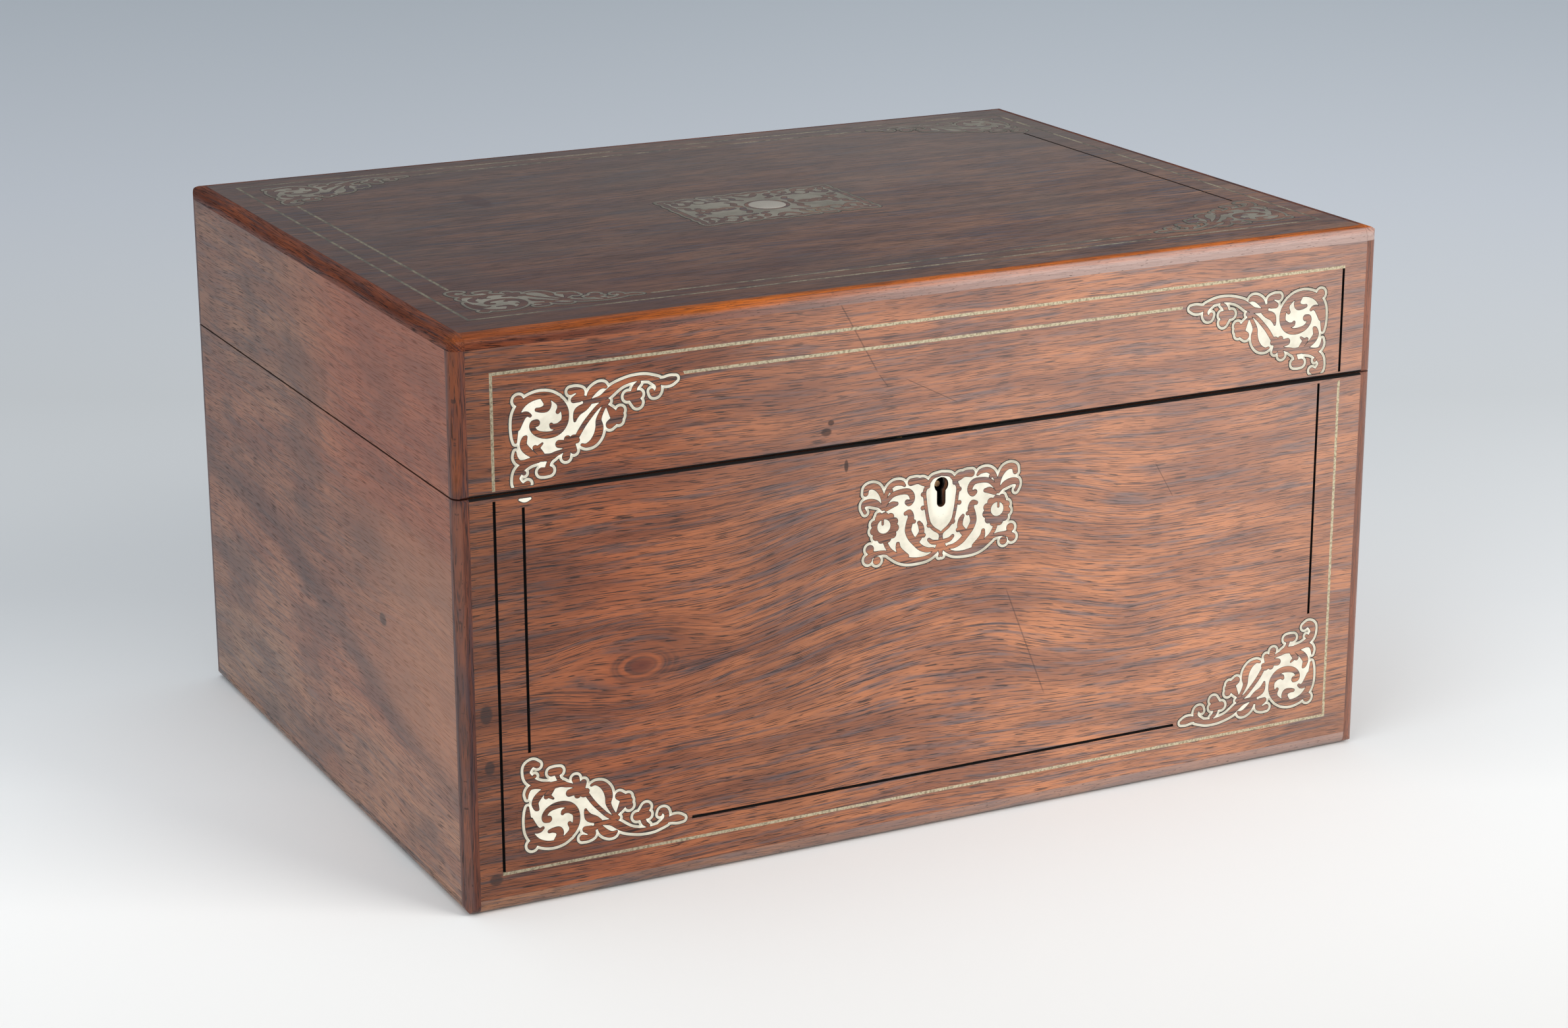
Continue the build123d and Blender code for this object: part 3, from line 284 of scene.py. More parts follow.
class Drawing:
    """A grid of distances, less than zero inside a shape, from which smooth outlines are cut."""

    def __init__(self, size):
        self.across = np.arange(-drawing_margin, size[0] + drawing_margin, drawing_step)
        self.down = np.arange(-drawing_margin, size[1] + drawing_margin, drawing_step)

    def outside_strokes(self, strokes, growth=0.0):
        """The distance outside the nearest stroke, each stroke made wider by growth."""
        field = np.full((len(self.down), len(self.across)), 4 * drawing_margin)
        for stroke in strokes:
            spots = smooth_stroke(stroke)
            for start, end in zip(spots, spots[1:] if len(spots) > 1 else spots):
                reach = max(start[2], end[2]) + drawing_margin
                columns = slice(*np.searchsorted(
                    self.across, (min(start[0], end[0]) - reach, max(start[0], end[0]) + reach)))
                rows = slice(*np.searchsorted(
                    self.down, (min(start[1], end[1]) - reach, max(start[1], end[1]) + reach)))
                x, y = np.meshgrid(self.across[columns], self.down[rows])
                run = end - start
                length = max(run[0] ** 2 + run[1] ** 2, 1e-9)
                t = np.clip(((x - start[0]) * run[0] + (y - start[1]) * run[1]) / length, 0, 1)
                away = np.hypot(x - start[0] - t * run[0], y - start[1] - t * run[1])
                away -= start[2] + t * run[2] + growth
                field[rows, columns] = np.minimum(field[rows, columns], away)
        return field

    def core(self, outline):
        """Less than zero well inside an outline, away from its rim."""
        reach = int(rim_blur * 3)
        spread = np.exp(-0.5 * (np.arange(-reach, reach + 1) / rim_blur) ** 2)
        inside = (outline < 0).astype(float)
        for turn in range(2):
            inside = np.apply_along_axis(np.convolve, turn, inside, spread / spread.sum(), "same")
        return (rim_share - inside) * 4 * drawing_step

    def tool_marks(self, outline):
        """Small nicks that the saw left here and there along an outline."""
        rows, columns = np.nonzero(np.abs(outline - mastic_width) < drawing_step / 2)
        nicks = []
        for index in random.sample(range(len(rows)), int(len(rows) * nick_share)):
            x, y = self.across[columns[index]], self.down[rows[index]]
            nicks.append([(x, y, random.uniform(*nick_sizes))])
        return self.outside_strokes(nicks)

    def short_of(self, limit):
        """The distance short of a level line, for cutting a drawing off there."""
        return np.repeat((limit - self.down)[:, None], len(self.across), axis=1)

    def filled(self, field):
        """The same field with every enclosed hole made part of its inside."""
        free = np.pad(field > 0, 1, constant_values=True)
        open_air = np.zeros(free.shape, bool)
        open_air[0] = True
        reached = 0
        while open_air.sum() > reached:
            reached = open_air.sum()
            for air, way in ((open_air, free), (open_air[::-1], free[::-1]),
                             (open_air.T, free.T), (open_air.T[::-1], free.T[::-1])):
                air[1:] |= air[:-1] & way[1:]
        holes = (free & ~open_air)[1:-1, 1:-1]
        return np.where(holes, -np.abs(field) - 2 * drawing_step, field)

    def loops(self, field):
        """Closed outlines where the field passes zero."""
        inside = field < 0
        links = {}
        corners = inside[:-1, :-1] * 1 + inside[:-1, 1:] * 2 + inside[1:, 1:] * 4 + inside[1:, :-1] * 8
        for row, column in zip(*np.nonzero((corners > 0) & (corners < 15))):
            sides = ((("h", row, column), 1, 2), (("v", row, column + 1), 2, 4),
                     (("h", row + 1, column), 4, 8), (("v", row, column), 8, 1))
            code = corners[row, column]
            crossed = [side for side, first, second in sides if bool(code & first) != bool(code & second)]
            for first, second in (crossed[:2], crossed[2:]) if len(crossed) == 4 else (crossed,):
                links.setdefault(first, []).append(second)
                links.setdefault(second, []).append(first)
        found = []
        while links:
            start = next(iter(links))
            loop, here, previous = [start], links[start][0], start
            while here != start:
                loop.append(here)
                onward = [other for other in links[here] if other != previous]
                previous, here = here, onward[0] if onward else start
            for edge in loop:
                links.pop(edge, None)
            points = []
            for kind, row, column in loop:
                next_row, next_column = (row, column + 1) if kind == "h" else (row + 1, column)
                low, high = field[row, column], field[next_row, next_column]
                t = low / (low - high)
                points.append((
                    self.across[column] + t * (self.across[next_column] - self.across[column]),
                    self.down[row] + t * (self.down[next_row] - self.down[row]),
                ))
            if len(points) > 5:
                found.append(simplified(np.array(points)))
        return [loop for loop in found if len(loop) > 3]


def simplified(points):
    """A closed outline without the points that lie nearly on a straight line."""
    keep = np.zeros(len(points), bool)
    far = int(np.argmax(np.hypot(*(points - points[0]).T)))
    keep[0] = keep[far] = True
    ring = np.vstack([points, points[:1]])
    spans = [(0, far), (far, len(points))]
    while spans:
        start, end = spans.pop()
        if end - start < 2:
            continue
        run = ring[end] - ring[start]
        length = max(float(np.hypot(*run)), 1e-9)
        offset = np.abs((ring[start + 1:end] - ring[start]) @ np.array([-run[1], run[0]])) / length
        worst = int(np.argmax(offset))
        if offset[worst] > loop_tolerance:
            middle = start + 1 + worst
            keep[middle] = True
            spans += [(start, middle), (middle, end)]
    return points[keep]


def new_piece(name, mesh):
    piece = bpy.data.objects.new(name, mesh)
    bpy.context.scene.collection.objects.link(piece)
    return piece


def finished_mesh(name, whole):
    """A mesh from an edit mesh, which is then let go."""
    mesh = bpy.data.meshes.new(name)
    whole.to_mesh(mesh)
    whole.free()
    return mesh


def plate_mesh(loops, thickness):
    """A flat plate cut to closed outlines, its holes left open, in the drawing's units."""
    curve = bpy.data.curves.new("outline", "CURVE")
    curve.dimensions = "2D"
    curve.fill_mode = "BOTH"
    curve.extrude = thickness / 2
    for loop in loops:
        spline = curve.splines.new("POLY")
        spline.points.add(len(loop) - 1)
        spline.points.foreach_set("co", [value for x, y in loop for value in (x, y, 0, 1)])
        spline.use_cyclic_u = True
    holder = new_piece("outline", curve)
    bpy.context.view_layer.update()
    mesh = bpy.data.meshes.new_from_object(holder.evaluated_get(bpy.context.evaluated_depsgraph_get()))
    bpy.data.objects.remove(holder)
    bpy.data.curves.remove(curve)
    return mesh


def placing(zero, origin, across, up, out, rise):
    """The matrix that sets a drawing on a face: across and up run along it, out points away from it."""
    step_size = drawing_scale * MM
    across, up, out = Vector(across) * step_size, Vector(up) * step_size, Vector(out) * MM
    start = Vector(origin) - across * zero[0] + up * zero[1] + out * rise
    return Matrix.Translation(start) @ Matrix((across, -up, out)).transposed().to_4x4()


def joined(name, parts):
    """One mesh object from meshes and the matrices that place them."""
    whole = bmesh.new()
    for mesh, matrix in parts:
        copy = mesh.copy()
        copy.transform(matrix)
        if matrix.determinant() < 0:
            copy.flip_normals()
        whole.from_mesh(copy)
        bpy.data.meshes.remove(copy)
    bmesh.ops.remove_doubles(whole, verts=whole.verts, dist=1e-7)
    return new_piece(name, finished_mesh(name, whole))


def settle(piece, body, finish, replaced=()):
    """Gives a piece its finish and the body it rides on."""
    piece.data.materials.clear()
    piece.data.materials.append(finish)
    if replaced:
        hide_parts(*replaced)
    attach(piece, body)


def inlay_layers(drawing, wood, silhouette, hole=None):
    """An ornament's layers: wood ground, mastic, wood infill, pearl, and the pearl's grey rim."""
    pearl = np.maximum(silhouette, -wood)
    layers = {
        "ground": drawing.filled(silhouette - ground_width),
        "mastic": np.minimum(silhouette - mastic_width, drawing.tool_marks(silhouette)),
        "infill": np.maximum(wood + wood_gap, silhouette),
        "pearl": pearl,
        "rim": np.maximum(pearl, -drawing.core(silhouette)),
    }
    if hole is not None:
        layers = {name: np.maximum(field, -hole) for name, field in layers.items()}
    return layers


def layer_meshes(drawing, layers, face_end=None, pearl_end=None):
    """A plate for each layer, cut off where the face ends and a little sooner for the pearl."""
    meshes = {}
    for name, field in layers.items():
        if face_end is not None:
            end = {"ground": face_end, "mastic": pearl_end - mastic_width}.get(name, pearl_end)
            field = np.maximum(field, drawing.short_of(end))
        meshes[name] = plate_mesh(drawing.loops(field), layer_rises[name])
        meshes[name].transform(Matrix.Translation((0, 0, -layer_rises[name] / 2)))
    return meshes


def lay_inlay(stem, body, meshes, places, layer_finishes, replaced):
    """Sets the layers of an ornament at each of its places."""
    for name, mesh in meshes.items():
        piece = joined(f"{stem}_{name}", [(mesh, placing(*place, layer_rises[name])) for place in places])
        settle(piece, body, layer_finishes[name], replaced if name == "pearl" else ())


def mirrored_strokes(strokes, middle):
    """The strokes with their mirror image about an upright line."""
    return strokes + [[(2 * middle - x, y, width) for x, y, width in stroke] for stroke in strokes]


def spandrel_drawing():
    drawing = Drawing(spandrel_size)
    wood = drawing.outside_strokes(spandrel_strokes, wood_growth)
    return drawing, inlay_layers(drawing, wood, drawing.filled(wood - pearl_rim))


def escutcheon_drawing():
    drawing = Drawing(escutcheon_size)
    petals = []
    for index in range(daisy_petals):
        turn = 2 * math.pi * (index + 0.25) / daisy_petals
        tip_x = daisy_centre[0] + daisy_reach * math.cos(turn)
        tip_y = daisy_centre[1] + daisy_reach * math.sin(turn)
        petals.append([(*daisy_centre, daisy_petal), (tip_x, tip_y, daisy_petal)])
    strokes = mirrored_strokes(escutcheon_half_strokes + petals, escutcheon_middle)
    wood = drawing.outside_strokes(strokes, wood_growth)
    eyes = drawing.outside_strokes(mirrored_strokes([[daisy_eye]], escutcheon_middle))
    stems = drawing.outside_strokes(mirrored_strokes([daisy_stem], escutcheon_middle))
    silhouette = drawing.filled(wood - pearl_rim)
    wood = np.minimum(np.maximum(wood, -eyes), stems)
    slot = [(escutcheon_middle, keyhole_disc[1], keyhole_slot_half),
            (escutcheon_middle, keyhole_slot_end - keyhole_slot_half, keyhole_slot_half)]
    hole = drawing.outside_strokes([[keyhole_disc], slot])
    return drawing, inlay_layers(drawing, wood, silhouette, hole)


def cartouche_drawing():
    drawing = Drawing(cartouche_size)
    middle_x, middle_y = cartouche_middle
    strokes = mirrored_strokes(cartouche_quarter_strokes, middle_x)
    strokes += [[(x, 2 * middle_y - y, width) for x, y, width in stroke] for stroke in strokes]
    corners = [(x, y) for x in (roundel_place[0], 2 * middle_x - roundel_place[0])
               for y in (roundel_place[1], 2 * middle_y - roundel_place[1])]
    rings, eyes = ([[(*corner, radius)] for corner in corners] for radius in (roundel_ring, roundel_eye))
    wood = drawing.outside_strokes(strokes + rings, wood_growth)
    wood = np.maximum(wood, -drawing.outside_strokes(eyes))
    boss = drawing.outside_strokes([[(*cartouche_middle, cartouche_boss_field)]])
    wood = np.minimum(np.maximum(wood, -(boss - pearl_rim)), boss)
    silhouette = drawing.filled(np.minimum(wood, boss) - pearl_rim)
    return drawing, inlay_layers(drawing, wood, silhouette)


# Shader values
def is_vector(value):
    if isinstance(value, Wire):
        return value.socket.type in {"VECTOR", "RGBA"}
    return isinstance(value, (tuple, list))


def plug(tree, socket, value):
    """Gives a socket a wire, a number or a colour."""
    if isinstance(value, Wire):
        tree.links.new(value.socket, socket)
    elif socket.type == "RGBA":
        socket.default_value = (*value[:3], 1.0) if is_vector(value) else (value, value, value, 1.0)
    elif socket.type == "VECTOR":
        socket.default_value = tuple(value) if is_vector(value) else (value, value, value)
    else:
        socket.default_value = value


def both_ways(operation):
    """A wire's operator and its reflected form."""
    def plain(self, other):
        return self.maths(operation, self, other)

    def reflected(self, other):
        return self.maths(operation, other, self)

    return plain, reflected


class Wire:
    """One shader value. Arithmetic on it adds Math nodes, or Vector Math nodes where a vector takes part."""

    __add__, __radd__ = both_ways("ADD")
    __sub__, __rsub__ = both_ways("SUBTRACT")
    __mul__, __rmul__ = both_ways("MULTIPLY")
    __truediv__, __rtruediv__ = both_ways("DIVIDE")
    __pow__, __rpow__ = both_ways("POWER")

    def __init__(self, tree, socket=None):
        self.tree = tree
        self.socket = socket

    def node(self, kind, settings=None, values=None, result=0):
        """Adds any other node: its settings are set first, then its sockets."""
        made = self.tree.nodes.new("ShaderNode" + kind)
        for name, setting in (settings or {}).items():
            if name == "stops":
                place_stops(made.color_ramp, setting)
            else:
                setattr(made, name, setting)
        for name, value in (values or {}).items():
            plug(self.tree, made.inputs[name], value)
        return Wire(self.tree, made.outputs[result])

    def maths(self, operation, first, second=0.0):
        kind = "VectorMath" if is_vector(first) or is_vector(second) else "Math"
        return self.node(kind, {"operation": operation}, {0: first, 1: second})

    def __abs__(self):
        return self.maths("ABSOLUTE", self)

    def most(self, other):
        return self.maths("MAXIMUM", self, other)

    def axes(self):
        """The three parts of a vector."""
        return [self.node("SeparateXYZ", None, {"Vector": self}, result=axis) for axis in "XYZ"]


def place_stops(colour_ramp, stops):
    """The stops of a colour ramp, each a position and a colour."""
    while len(colour_ramp.elements) < len(stops):
        colour_ramp.elements.new(1.0)
    for element, (position, colour) in zip(colour_ramp.elements, stops):
        element.position = position
        element.color = (*colour, 1.0)


def ramp(value, length, stops):
    """A colour that changes along a length, by stops at shares of it."""
    values = {"Value": value, "From Min": 0.0, "From Max": length}
    return value.node("ValToRGB", {"stops": stops}, {"Fac": value.node("MapRange", {"clamp": True}, values)})


def step(value, low, high):
    """A soft step from 0 at low to 1 at high."""
    values = {"Value": value, "From Min": low, "From Max": high}
    return value.node("MapRange", {"interpolation_type": "SMOOTHSTEP"}, values)


def blend(factor, first, second):
    """A colour between two others."""
    return factor.node("Mix", {"data_type": "RGBA"}, {0: factor, 6: first, 7: second}, result=2)


def between(factor, first, second):
    """A number between two others."""
    return first + factor * (second - first)


def noise(x, y, z, detail=3.0, roughness=0.5):
    """Cloudy values about 0.5. One or two of x, y and z may be plain numbers."""
    start = next(part for part in (x, y, z) if isinstance(part, Wire))
    place = start.node("CombineXYZ", None, {"X": x, "Y": y, "Z": z})
    values = {"Vector": place, "Scale": 1.0, "Detail": detail, "Roughness": roughness}
    return place.node("TexNoise", {"noise_dimensions": "3D"}, values)


def even_noise(place, scale, detail=3.0, roughness=0.5):
    """Cloudy values that vary as finely in every direction."""
    return noise(*(part * scale for part in place), detail, roughness)


def spot(x, y, centre, reach, edge=0.35):
    """1 inside a soft-edged oval and 0 outside."""
    away = ((x - centre[0]) / reach[0]) ** 2 + ((y - centre[1]) / reach[1]) ** 2
    return step(away, 1.0, edge)


def scratch(x, y, start, end, width):
    """1 along a thin line from start to end."""
    run = Vector(end) - Vector(start)
    length = run.length
    heading = run / length
    forward = (x - start[0]) * heading.x + (y - start[1]) * heading.y
    aside = abs((x - start[0]) * -heading.y + (y - start[1]) * heading.x)
    return step(aside, width, width * 0.3) * step(abs(forward - length / 2), length / 2, length / 2 * 0.8)


def any_mark(kind, x, y, marks):
    """1 inside any of several spots or scratches."""
    return reduce(Wire.most, [kind(x, y, *mark) for mark in marks])


def new_finish(name):
    """A material, and the place on it: millimetres from the case's left edge, its front and its foot."""
    finish = bpy.data.materials.new(name)
    finish.use_nodes = True
    x, y, z = Wire(finish.node_tree).node("TexCoord", result="Object").axes()
    return finish, ((x - left) / MM, (y - front) / MM, z / MM)


def dress(finish, colour, roughness, metallic=0.0, height=None, depth=0.0, **constants):
    """Sets what varies over a finish, its relief in millimetres, and what is the same all over it."""
    tree = finish.node_tree
    shader = tree.nodes["Principled BSDF"]
    plug(tree, shader.inputs["Base Color"], colour)
    plug(tree, shader.inputs["Roughness"], roughness)
    plug(tree, shader.inputs["Metallic"], metallic)
    if height is not None:
        relief = Wire(tree).node("Bump", None, {"Height": height, "Distance": depth * MM, "Strength": 1.0})
        plug(tree, shader.inputs["Normal"], relief)
    for name, value in constants.items():
        plug(tree, shader.inputs[name.replace("_", " ")], value)
    return finish


def tinted(colour, tint):
    """A colour times a tint, which is a colour or a number."""
    parts = tint if is_vector(tint) else (tint, tint, tint)
    return tuple(value * part for value, part in zip(colour, parts))


# Wood
rosewood_red = {
    "light": (0.48, 0.172, 0.068),
    "middle": (0.255, 0.090, 0.042),
    "veil": (0.122, 0.091, 0.089),
    "dark": (0.040, 0.028, 0.031),
    "pore": (0.010, 0.009, 0.010),
}


def shaded(palette, tint):
    """The same wood in another shade."""
    return {name: tinted(colour, tint) for name, colour in palette.items()}


def rosewood(along, across, depth, seed, palette, wander=10.0):
    """Colour, roughness and relief: broad tones, grey veils, dark lines, fibres and open pores."""
    drift = noise(along * 0.009, across * 0.02, seed, 2.0)
    bent = across + (drift - 0.5) * wander
    broad = noise(along * 0.022, bent * 0.11, seed + 3.0)
    veils = noise(along * 0.034, bent * 0.60, seed + 7.0, 5.0, 0.64)
    lines = noise(along * 0.020, bent * 1.90, seed + 11.0, 4.0, 0.62)
    fibres = noise(along * 0.10, bent * 3.4, depth * 1.5 + seed + 13.0)
    pores = noise(along * 0.13, bent * 4.0, depth * 3.0 + seed + 17.0, 1.0)
    colour = blend(step(broad, 0.34, 0.66), palette["light"], palette["middle"])
    colour = blend(step(veils, 0.47, 0.66) * 0.85, colour, palette["veil"])
    colour = blend(step(lines, 0.54, 0.63) * 0.72, colour, palette["dark"])
    colour = colour * (0.66 + fibres * 0.72)
    pore_mark = step(pores, 0.58, 0.64)
    colour = blend(pore_mark * 0.85, colour, palette["pore"])
    rough = 0.36 + (fibres - 0.5) * 0.2 + pore_mark * 0.25
    height = fibres * 0.3 + (1.0 - pore_mark) * 0.7
    return colour, rough, height


mastic_colour = (0.020, 0.013, 0.010)
# Painted shade for the seam, grooves and pockets: near black, and dark brown on the sides.
gap_shade_colour = (0.004, 0.003, 0.003)
side_gap_shade_colour = (0.014, 0.008, 0.007)
stain_colour = (0.022, 0.014, 0.014)
scratch_colour = (0.045, 0.030, 0.028)
check_colour = (0.030, 0.015, 0.012)


def in_recess(depth_in):
    """1 where a surface lies below the face, as in a groove or a pocket."""
    return step(depth_in, 0.06, 0.16)


def near_seam(z, reach):
    """1 where the lid meets the base, which always lies in shade."""
    return step(abs(z - seam / MM), reach, reach * 0.75)


# Knot and rising sweep of the front's figure, in millimetres
knot = (55.0, 66.9)
knot_parting = (34.0, 17.0)
knot_rings = (15.0, 8.0)
knot_eye = (5.5, 2.6)
knot_stretch = 1.9
sweep_rise = 9.0
# Tones across the front, scaled below: partly the wood's own, partly painted light falling off towards the
# left.
front_tone_and_light = [(0.0, (0.26, 0.24, 0.25)), (0.15, (0.39, 0.32, 0.31)), (0.33, (0.44, 0.44, 0.48)),
               (0.50, (0.60, 0.62, 0.67)), (0.66, (0.70, 0.75, 0.80)), (0.82, (0.74, 0.79, 0.83)),
               (1.0, (0.66, 0.71, 0.75))]
tone_and_light_strength = 1.68
front_stains = [((7.4, 59.9), (2.2, 3.4)), ((8.0, 43.9), (1.8, 2.6)), ((9.0, 9.9), (2.4, 2.0)),
                ((114.0, 127.9), (2.0, 1.4)), ((115.5, 130.5), (1.2, 1.0)), ((120.5, 117.0), (0.8, 2.2))]
front_scratches = [((118.0, 165.9), (131.0, 143.0), 0.30), ((131.0, 143.0), (134.0, 139.0), 0.22),
                   ((139.0, 141.0), (158.0, 131.0), 0.22), ((174.0, 72.9), (189.0, 34.9), 0.30),
                   ((226.0, 104.0), (233.0, 92.0), 0.20), ((86.0, 30.0), (101.0, 27.0), 0.18)]


def front_finish():
    """The front veneer: reddish, streaked, with a knot at the left, paler and more orange to the right,
    partly its own tone and partly painted light, under a painted pale sheen.
    """
    finish, (x, y, z) = new_finish("rosewood_front")
    aside, above = x - knot[0], z - knot[1]
    parting = spot(x, z, knot, knot_parting, 0.0)
    sweep = step(x, 74.0, 138.0) * step(x, 225.0, 165.0) * step(z, 30.0, 62.0) * step(z, 121.0, 100.0)
    across = z - above * parting * 0.55 - sweep * sweep_rise
    colour, rough, height = rosewood(x, across, y, 1.0, rosewood_red)
    away = ((aside / knot_stretch) ** 2 + above ** 2) ** 0.5
    rings = step(noise(away * 0.55, aside * 0.02, 5.0, 2.0), 0.42, 0.60)
    ring_colour = blend(rings, (0.40, 0.125, 0.045), (0.085, 0.040, 0.032))
    colour = blend(spot(x, z, knot, knot_rings, 0.0) * 0.75, colour, ring_colour)
    colour = blend(spot(x, z, knot, knot_eye, 0.0) * 0.85, colour, (0.13, 0.036, 0.024))
    # Painted pale sheen, growing towards the right and higher up.
    painted_sheen = step(x, 60.0, 300.0) * 0.26 + step(z, 55.0, 150.0) * step(x, 50.0, 120.0) * 0.16
    colour = blend(painted_sheen, colour * ramp(x, case_width, front_tone_and_light) * tone_and_light_strength, (0.35, 0.255, 0.232))
    colour = colour * (1.0 - step(x, 190.0, 300.0) * step(z, 45.0, 10.0) * 0.16)
    colour = blend(any_mark(spot, x, z, front_stains) * 0.75, colour, stain_colour)
    marks = any_mark(scratch, x, z, front_scratches)
    colour = blend(marks * 0.5, colour, scratch_colour)
    # Painted shade, near black, in the seam and in grooves and pockets.
    gap_shade = near_seam(z, 0.95).most(in_recess(y))
    return dress(finish, blend(gap_shade, colour, gap_shade_colour), rough.most(gap_shade), height=height - marks * 0.6,
                 depth=0.05, Coat_Weight=(1.0 - gap_shade) * 0.12, Coat_Roughness=0.22, Specular_IOR_Level=0.3)


def back_finish():
    """The back veneer: plain and darker."""
    finish, (x, y, z) = new_finish("rosewood_back")
    colour, rough, height = rosewood(x, z, y, 23.0, shaded(rosewood_red, (0.62, 0.58, 0.60)))
    # Painted shade, near black, in the seam.
    gap_shade = near_seam(z, 0.5)
    return dress(finish, blend(gap_shade, colour, gap_shade_colour), (rough + 0.08).most(gap_shade), height=height, depth=0.05,
                 Coat_Weight=(1.0 - gap_shade) * 0.15, Coat_Roughness=0.3)


side_wood = {
    "light": (0.37, 0.157, 0.087),
    "middle": (0.25, 0.097, 0.058),
    "veil": (0.17, 0.090, 0.074),
    "dark": (0.135, 0.069, 0.055),
    "pore": (0.075, 0.040, 0.034),
}

# Dark streak of the sides, in millimetres
streak_foot = 34.0
streak_climb = 42.0
streak_end = 185.0
streak_half = 10.0
streak_wander = 16.0
side_stain = ((60.6, 70.9), (3.4, 2.2))


def side_finish():
    """The side veneers: duller and softer, with a broad dark streak that dips towards the front."""
    finish, (x, y, z) = new_finish("rosewood_side")
    colour, rough, height = rosewood(y, z, x, 41.0, side_wood)
    cloud = noise(y * 0.028, z * 0.05, 3.0, 4.0, 0.55)
    colour = blend(step(cloud, 0.45, 0.66) * 0.55, colour, (0.105, 0.060, 0.050))
    streak_line = z - (streak_foot + step(y, 0.0, streak_end) * streak_climb) + (cloud - 0.5) * streak_wander
    warm = step(y, 125.0, 20.0) * step(streak_line, -4.0, 10.0) * step(z, 122.0, 96.0)
    colour = blend(warm * 0.60, colour, (0.33, 0.145, 0.080))
    colour = blend(step(abs(streak_line), streak_half, 0.0) * 0.52, colour, (0.072, 0.044, 0.041))
    colour = blend(spot(y, z, *side_stain) * 0.7, colour, (0.03, 0.018, 0.016))
    lid_warm = step(z, 80.0, 165.0) * step(y, 200.0, 30.0)
    colour = blend(lid_warm * 0.45, colour, (0.27, 0.098, 0.055))
    colour = colour * between(step(z, 0.0, 110.0), 1.12, 0.92)
    for share, tint in (
        (step(y, 90.0, 150.0) * step(z, 98.0, 125.0), (0.80, 0.92, 0.98)),
        (step(abs(z - 82.0), 28.0, 12.0) * step(y, 45.0, 80.0), (0.80, 0.80, 0.82)),
        (step(y, 115.0, 75.0) * step(z, 98.0, 112.0), (0.92, 0.78, 0.74)),
        (step(z, 42.0, 24.0), (0.92, 1.06, 1.12)),
        (step(z, 66.0, 50.0) * step(y, 130.0, 160.0), (0.84, 0.96, 1.04)),
        (step(z, 126.0, 138.0), (1.05, 1.08, 1.10)),
        (step(z, 88.0, 112.0) * step(y, 150.0, 100.0), (1.06, 0.94, 0.84)),
    ):
        colour = blend(share, colour, colour * tint)
    # Painted shade, dark brown, in the seam.
    gap_shade = near_seam(z, 0.30)
    return dress(finish, blend(gap_shade, colour, side_gap_shade_colour), (rough + 0.05).most(gap_shade), height=height,
                 depth=0.04, Coat_Weight=(1.0 - gap_shade) * 0.10, Coat_Roughness=0.3, Specular_IOR_Level=0.35)


# Tones across the top: partly the wood's own, partly painted light falling off towards the left.
top_tone_and_light = [(0.0, (0.31, 0.29, 0.31)), (0.25, (0.38, 0.38, 0.39)), (0.5, (0.44, 0.45, 0.46)),
             (0.6, (0.55, 0.57, 0.57)), (1.0, (0.64, 0.67, 0.67))]
top_stain = ((73.0, 162.0), (4.5, 12.0))
top_patch = ((162.0, 100.0), (7.0, 3.4))


def top_finish():
    """The top veneer: dull brown with an old bloom, redder at the front left, darker to the left by painted
    light and greyed towards the back and right by a painted reflection.
    """
    finish, (x, y, z) = new_finish("rosewood_top")
    palette = shaded(rosewood_red, (0.52, 0.66, 0.98))
    palette["dark"] = (0.050, 0.028, 0.025)
    colour, rough, height = rosewood(x, y, z, 61.0, palette)
    warm = step(x, 230.0, 20.0) * step(y, 120.0, 5.0)
    colour = blend(warm * 0.45, colour, (0.135, 0.052, 0.034))
    bloom = noise(x * 0.02, y * 0.025, 9.0, 4.0, 0.6)
    colour = blend(step(bloom, 0.42, 0.66) * 0.30, colour, (0.13, 0.095, 0.080))
    stain = spot(x, y, *top_stain) * step(bloom, 0.3, 0.55)
    colour = blend(stain * 0.7, colour, (0.060, 0.014, 0.014))
    patch = spot(x, y, *top_patch) * step(noise(x * 0.8, y * 0.8, 1.0), 0.4, 0.6)
    colour = blend(patch * 0.7, colour, (0.30, 0.22, 0.11))
    colour = colour * ramp(x, case_width, top_tone_and_light) * tone_and_light_strength
    # Painted grey reflection, stronger towards the back and the right.
    painted_grey_reflection = step(y, -20.0, 210.0) * between(step(x, 40.0, 290.0), 0.35, 0.70)
    colour = blend(painted_grey_reflection, colour, (0.104, 0.089, 0.083))
    colour = colour * (1.0 - step(y, 40.0, 8.0) * 0.10)
    pale_back = step(y, 114.0, 115.5) * step(x, 180.0, 196.0) * step(x, 290.0, 280.0)
    colour = colour * (1.0 + pale_back * 0.12)
    recess = in_recess(case_height - z)
    return dress(finish, blend(recess, colour, mastic_colour), rough + 0.08, height=height, depth=0.05,
                 Coat_Weight=(1.0 - recess) * 0.08, Coat_Roughness=0.3, Specular_IOR_Level=0.3)


edging_dark = shaded(rosewood_red, (0.38, 0.28, 0.30))
edging_orange = {
    "light": (0.47, 0.112, 0.012),
    "middle": (0.32, 0.074, 0.009),
    "veil": (0.21, 0.062, 0.014),
    "dark": (0.085, 0.030, 0.016),
    "pore": (0.030, 0.015, 0.012),
}


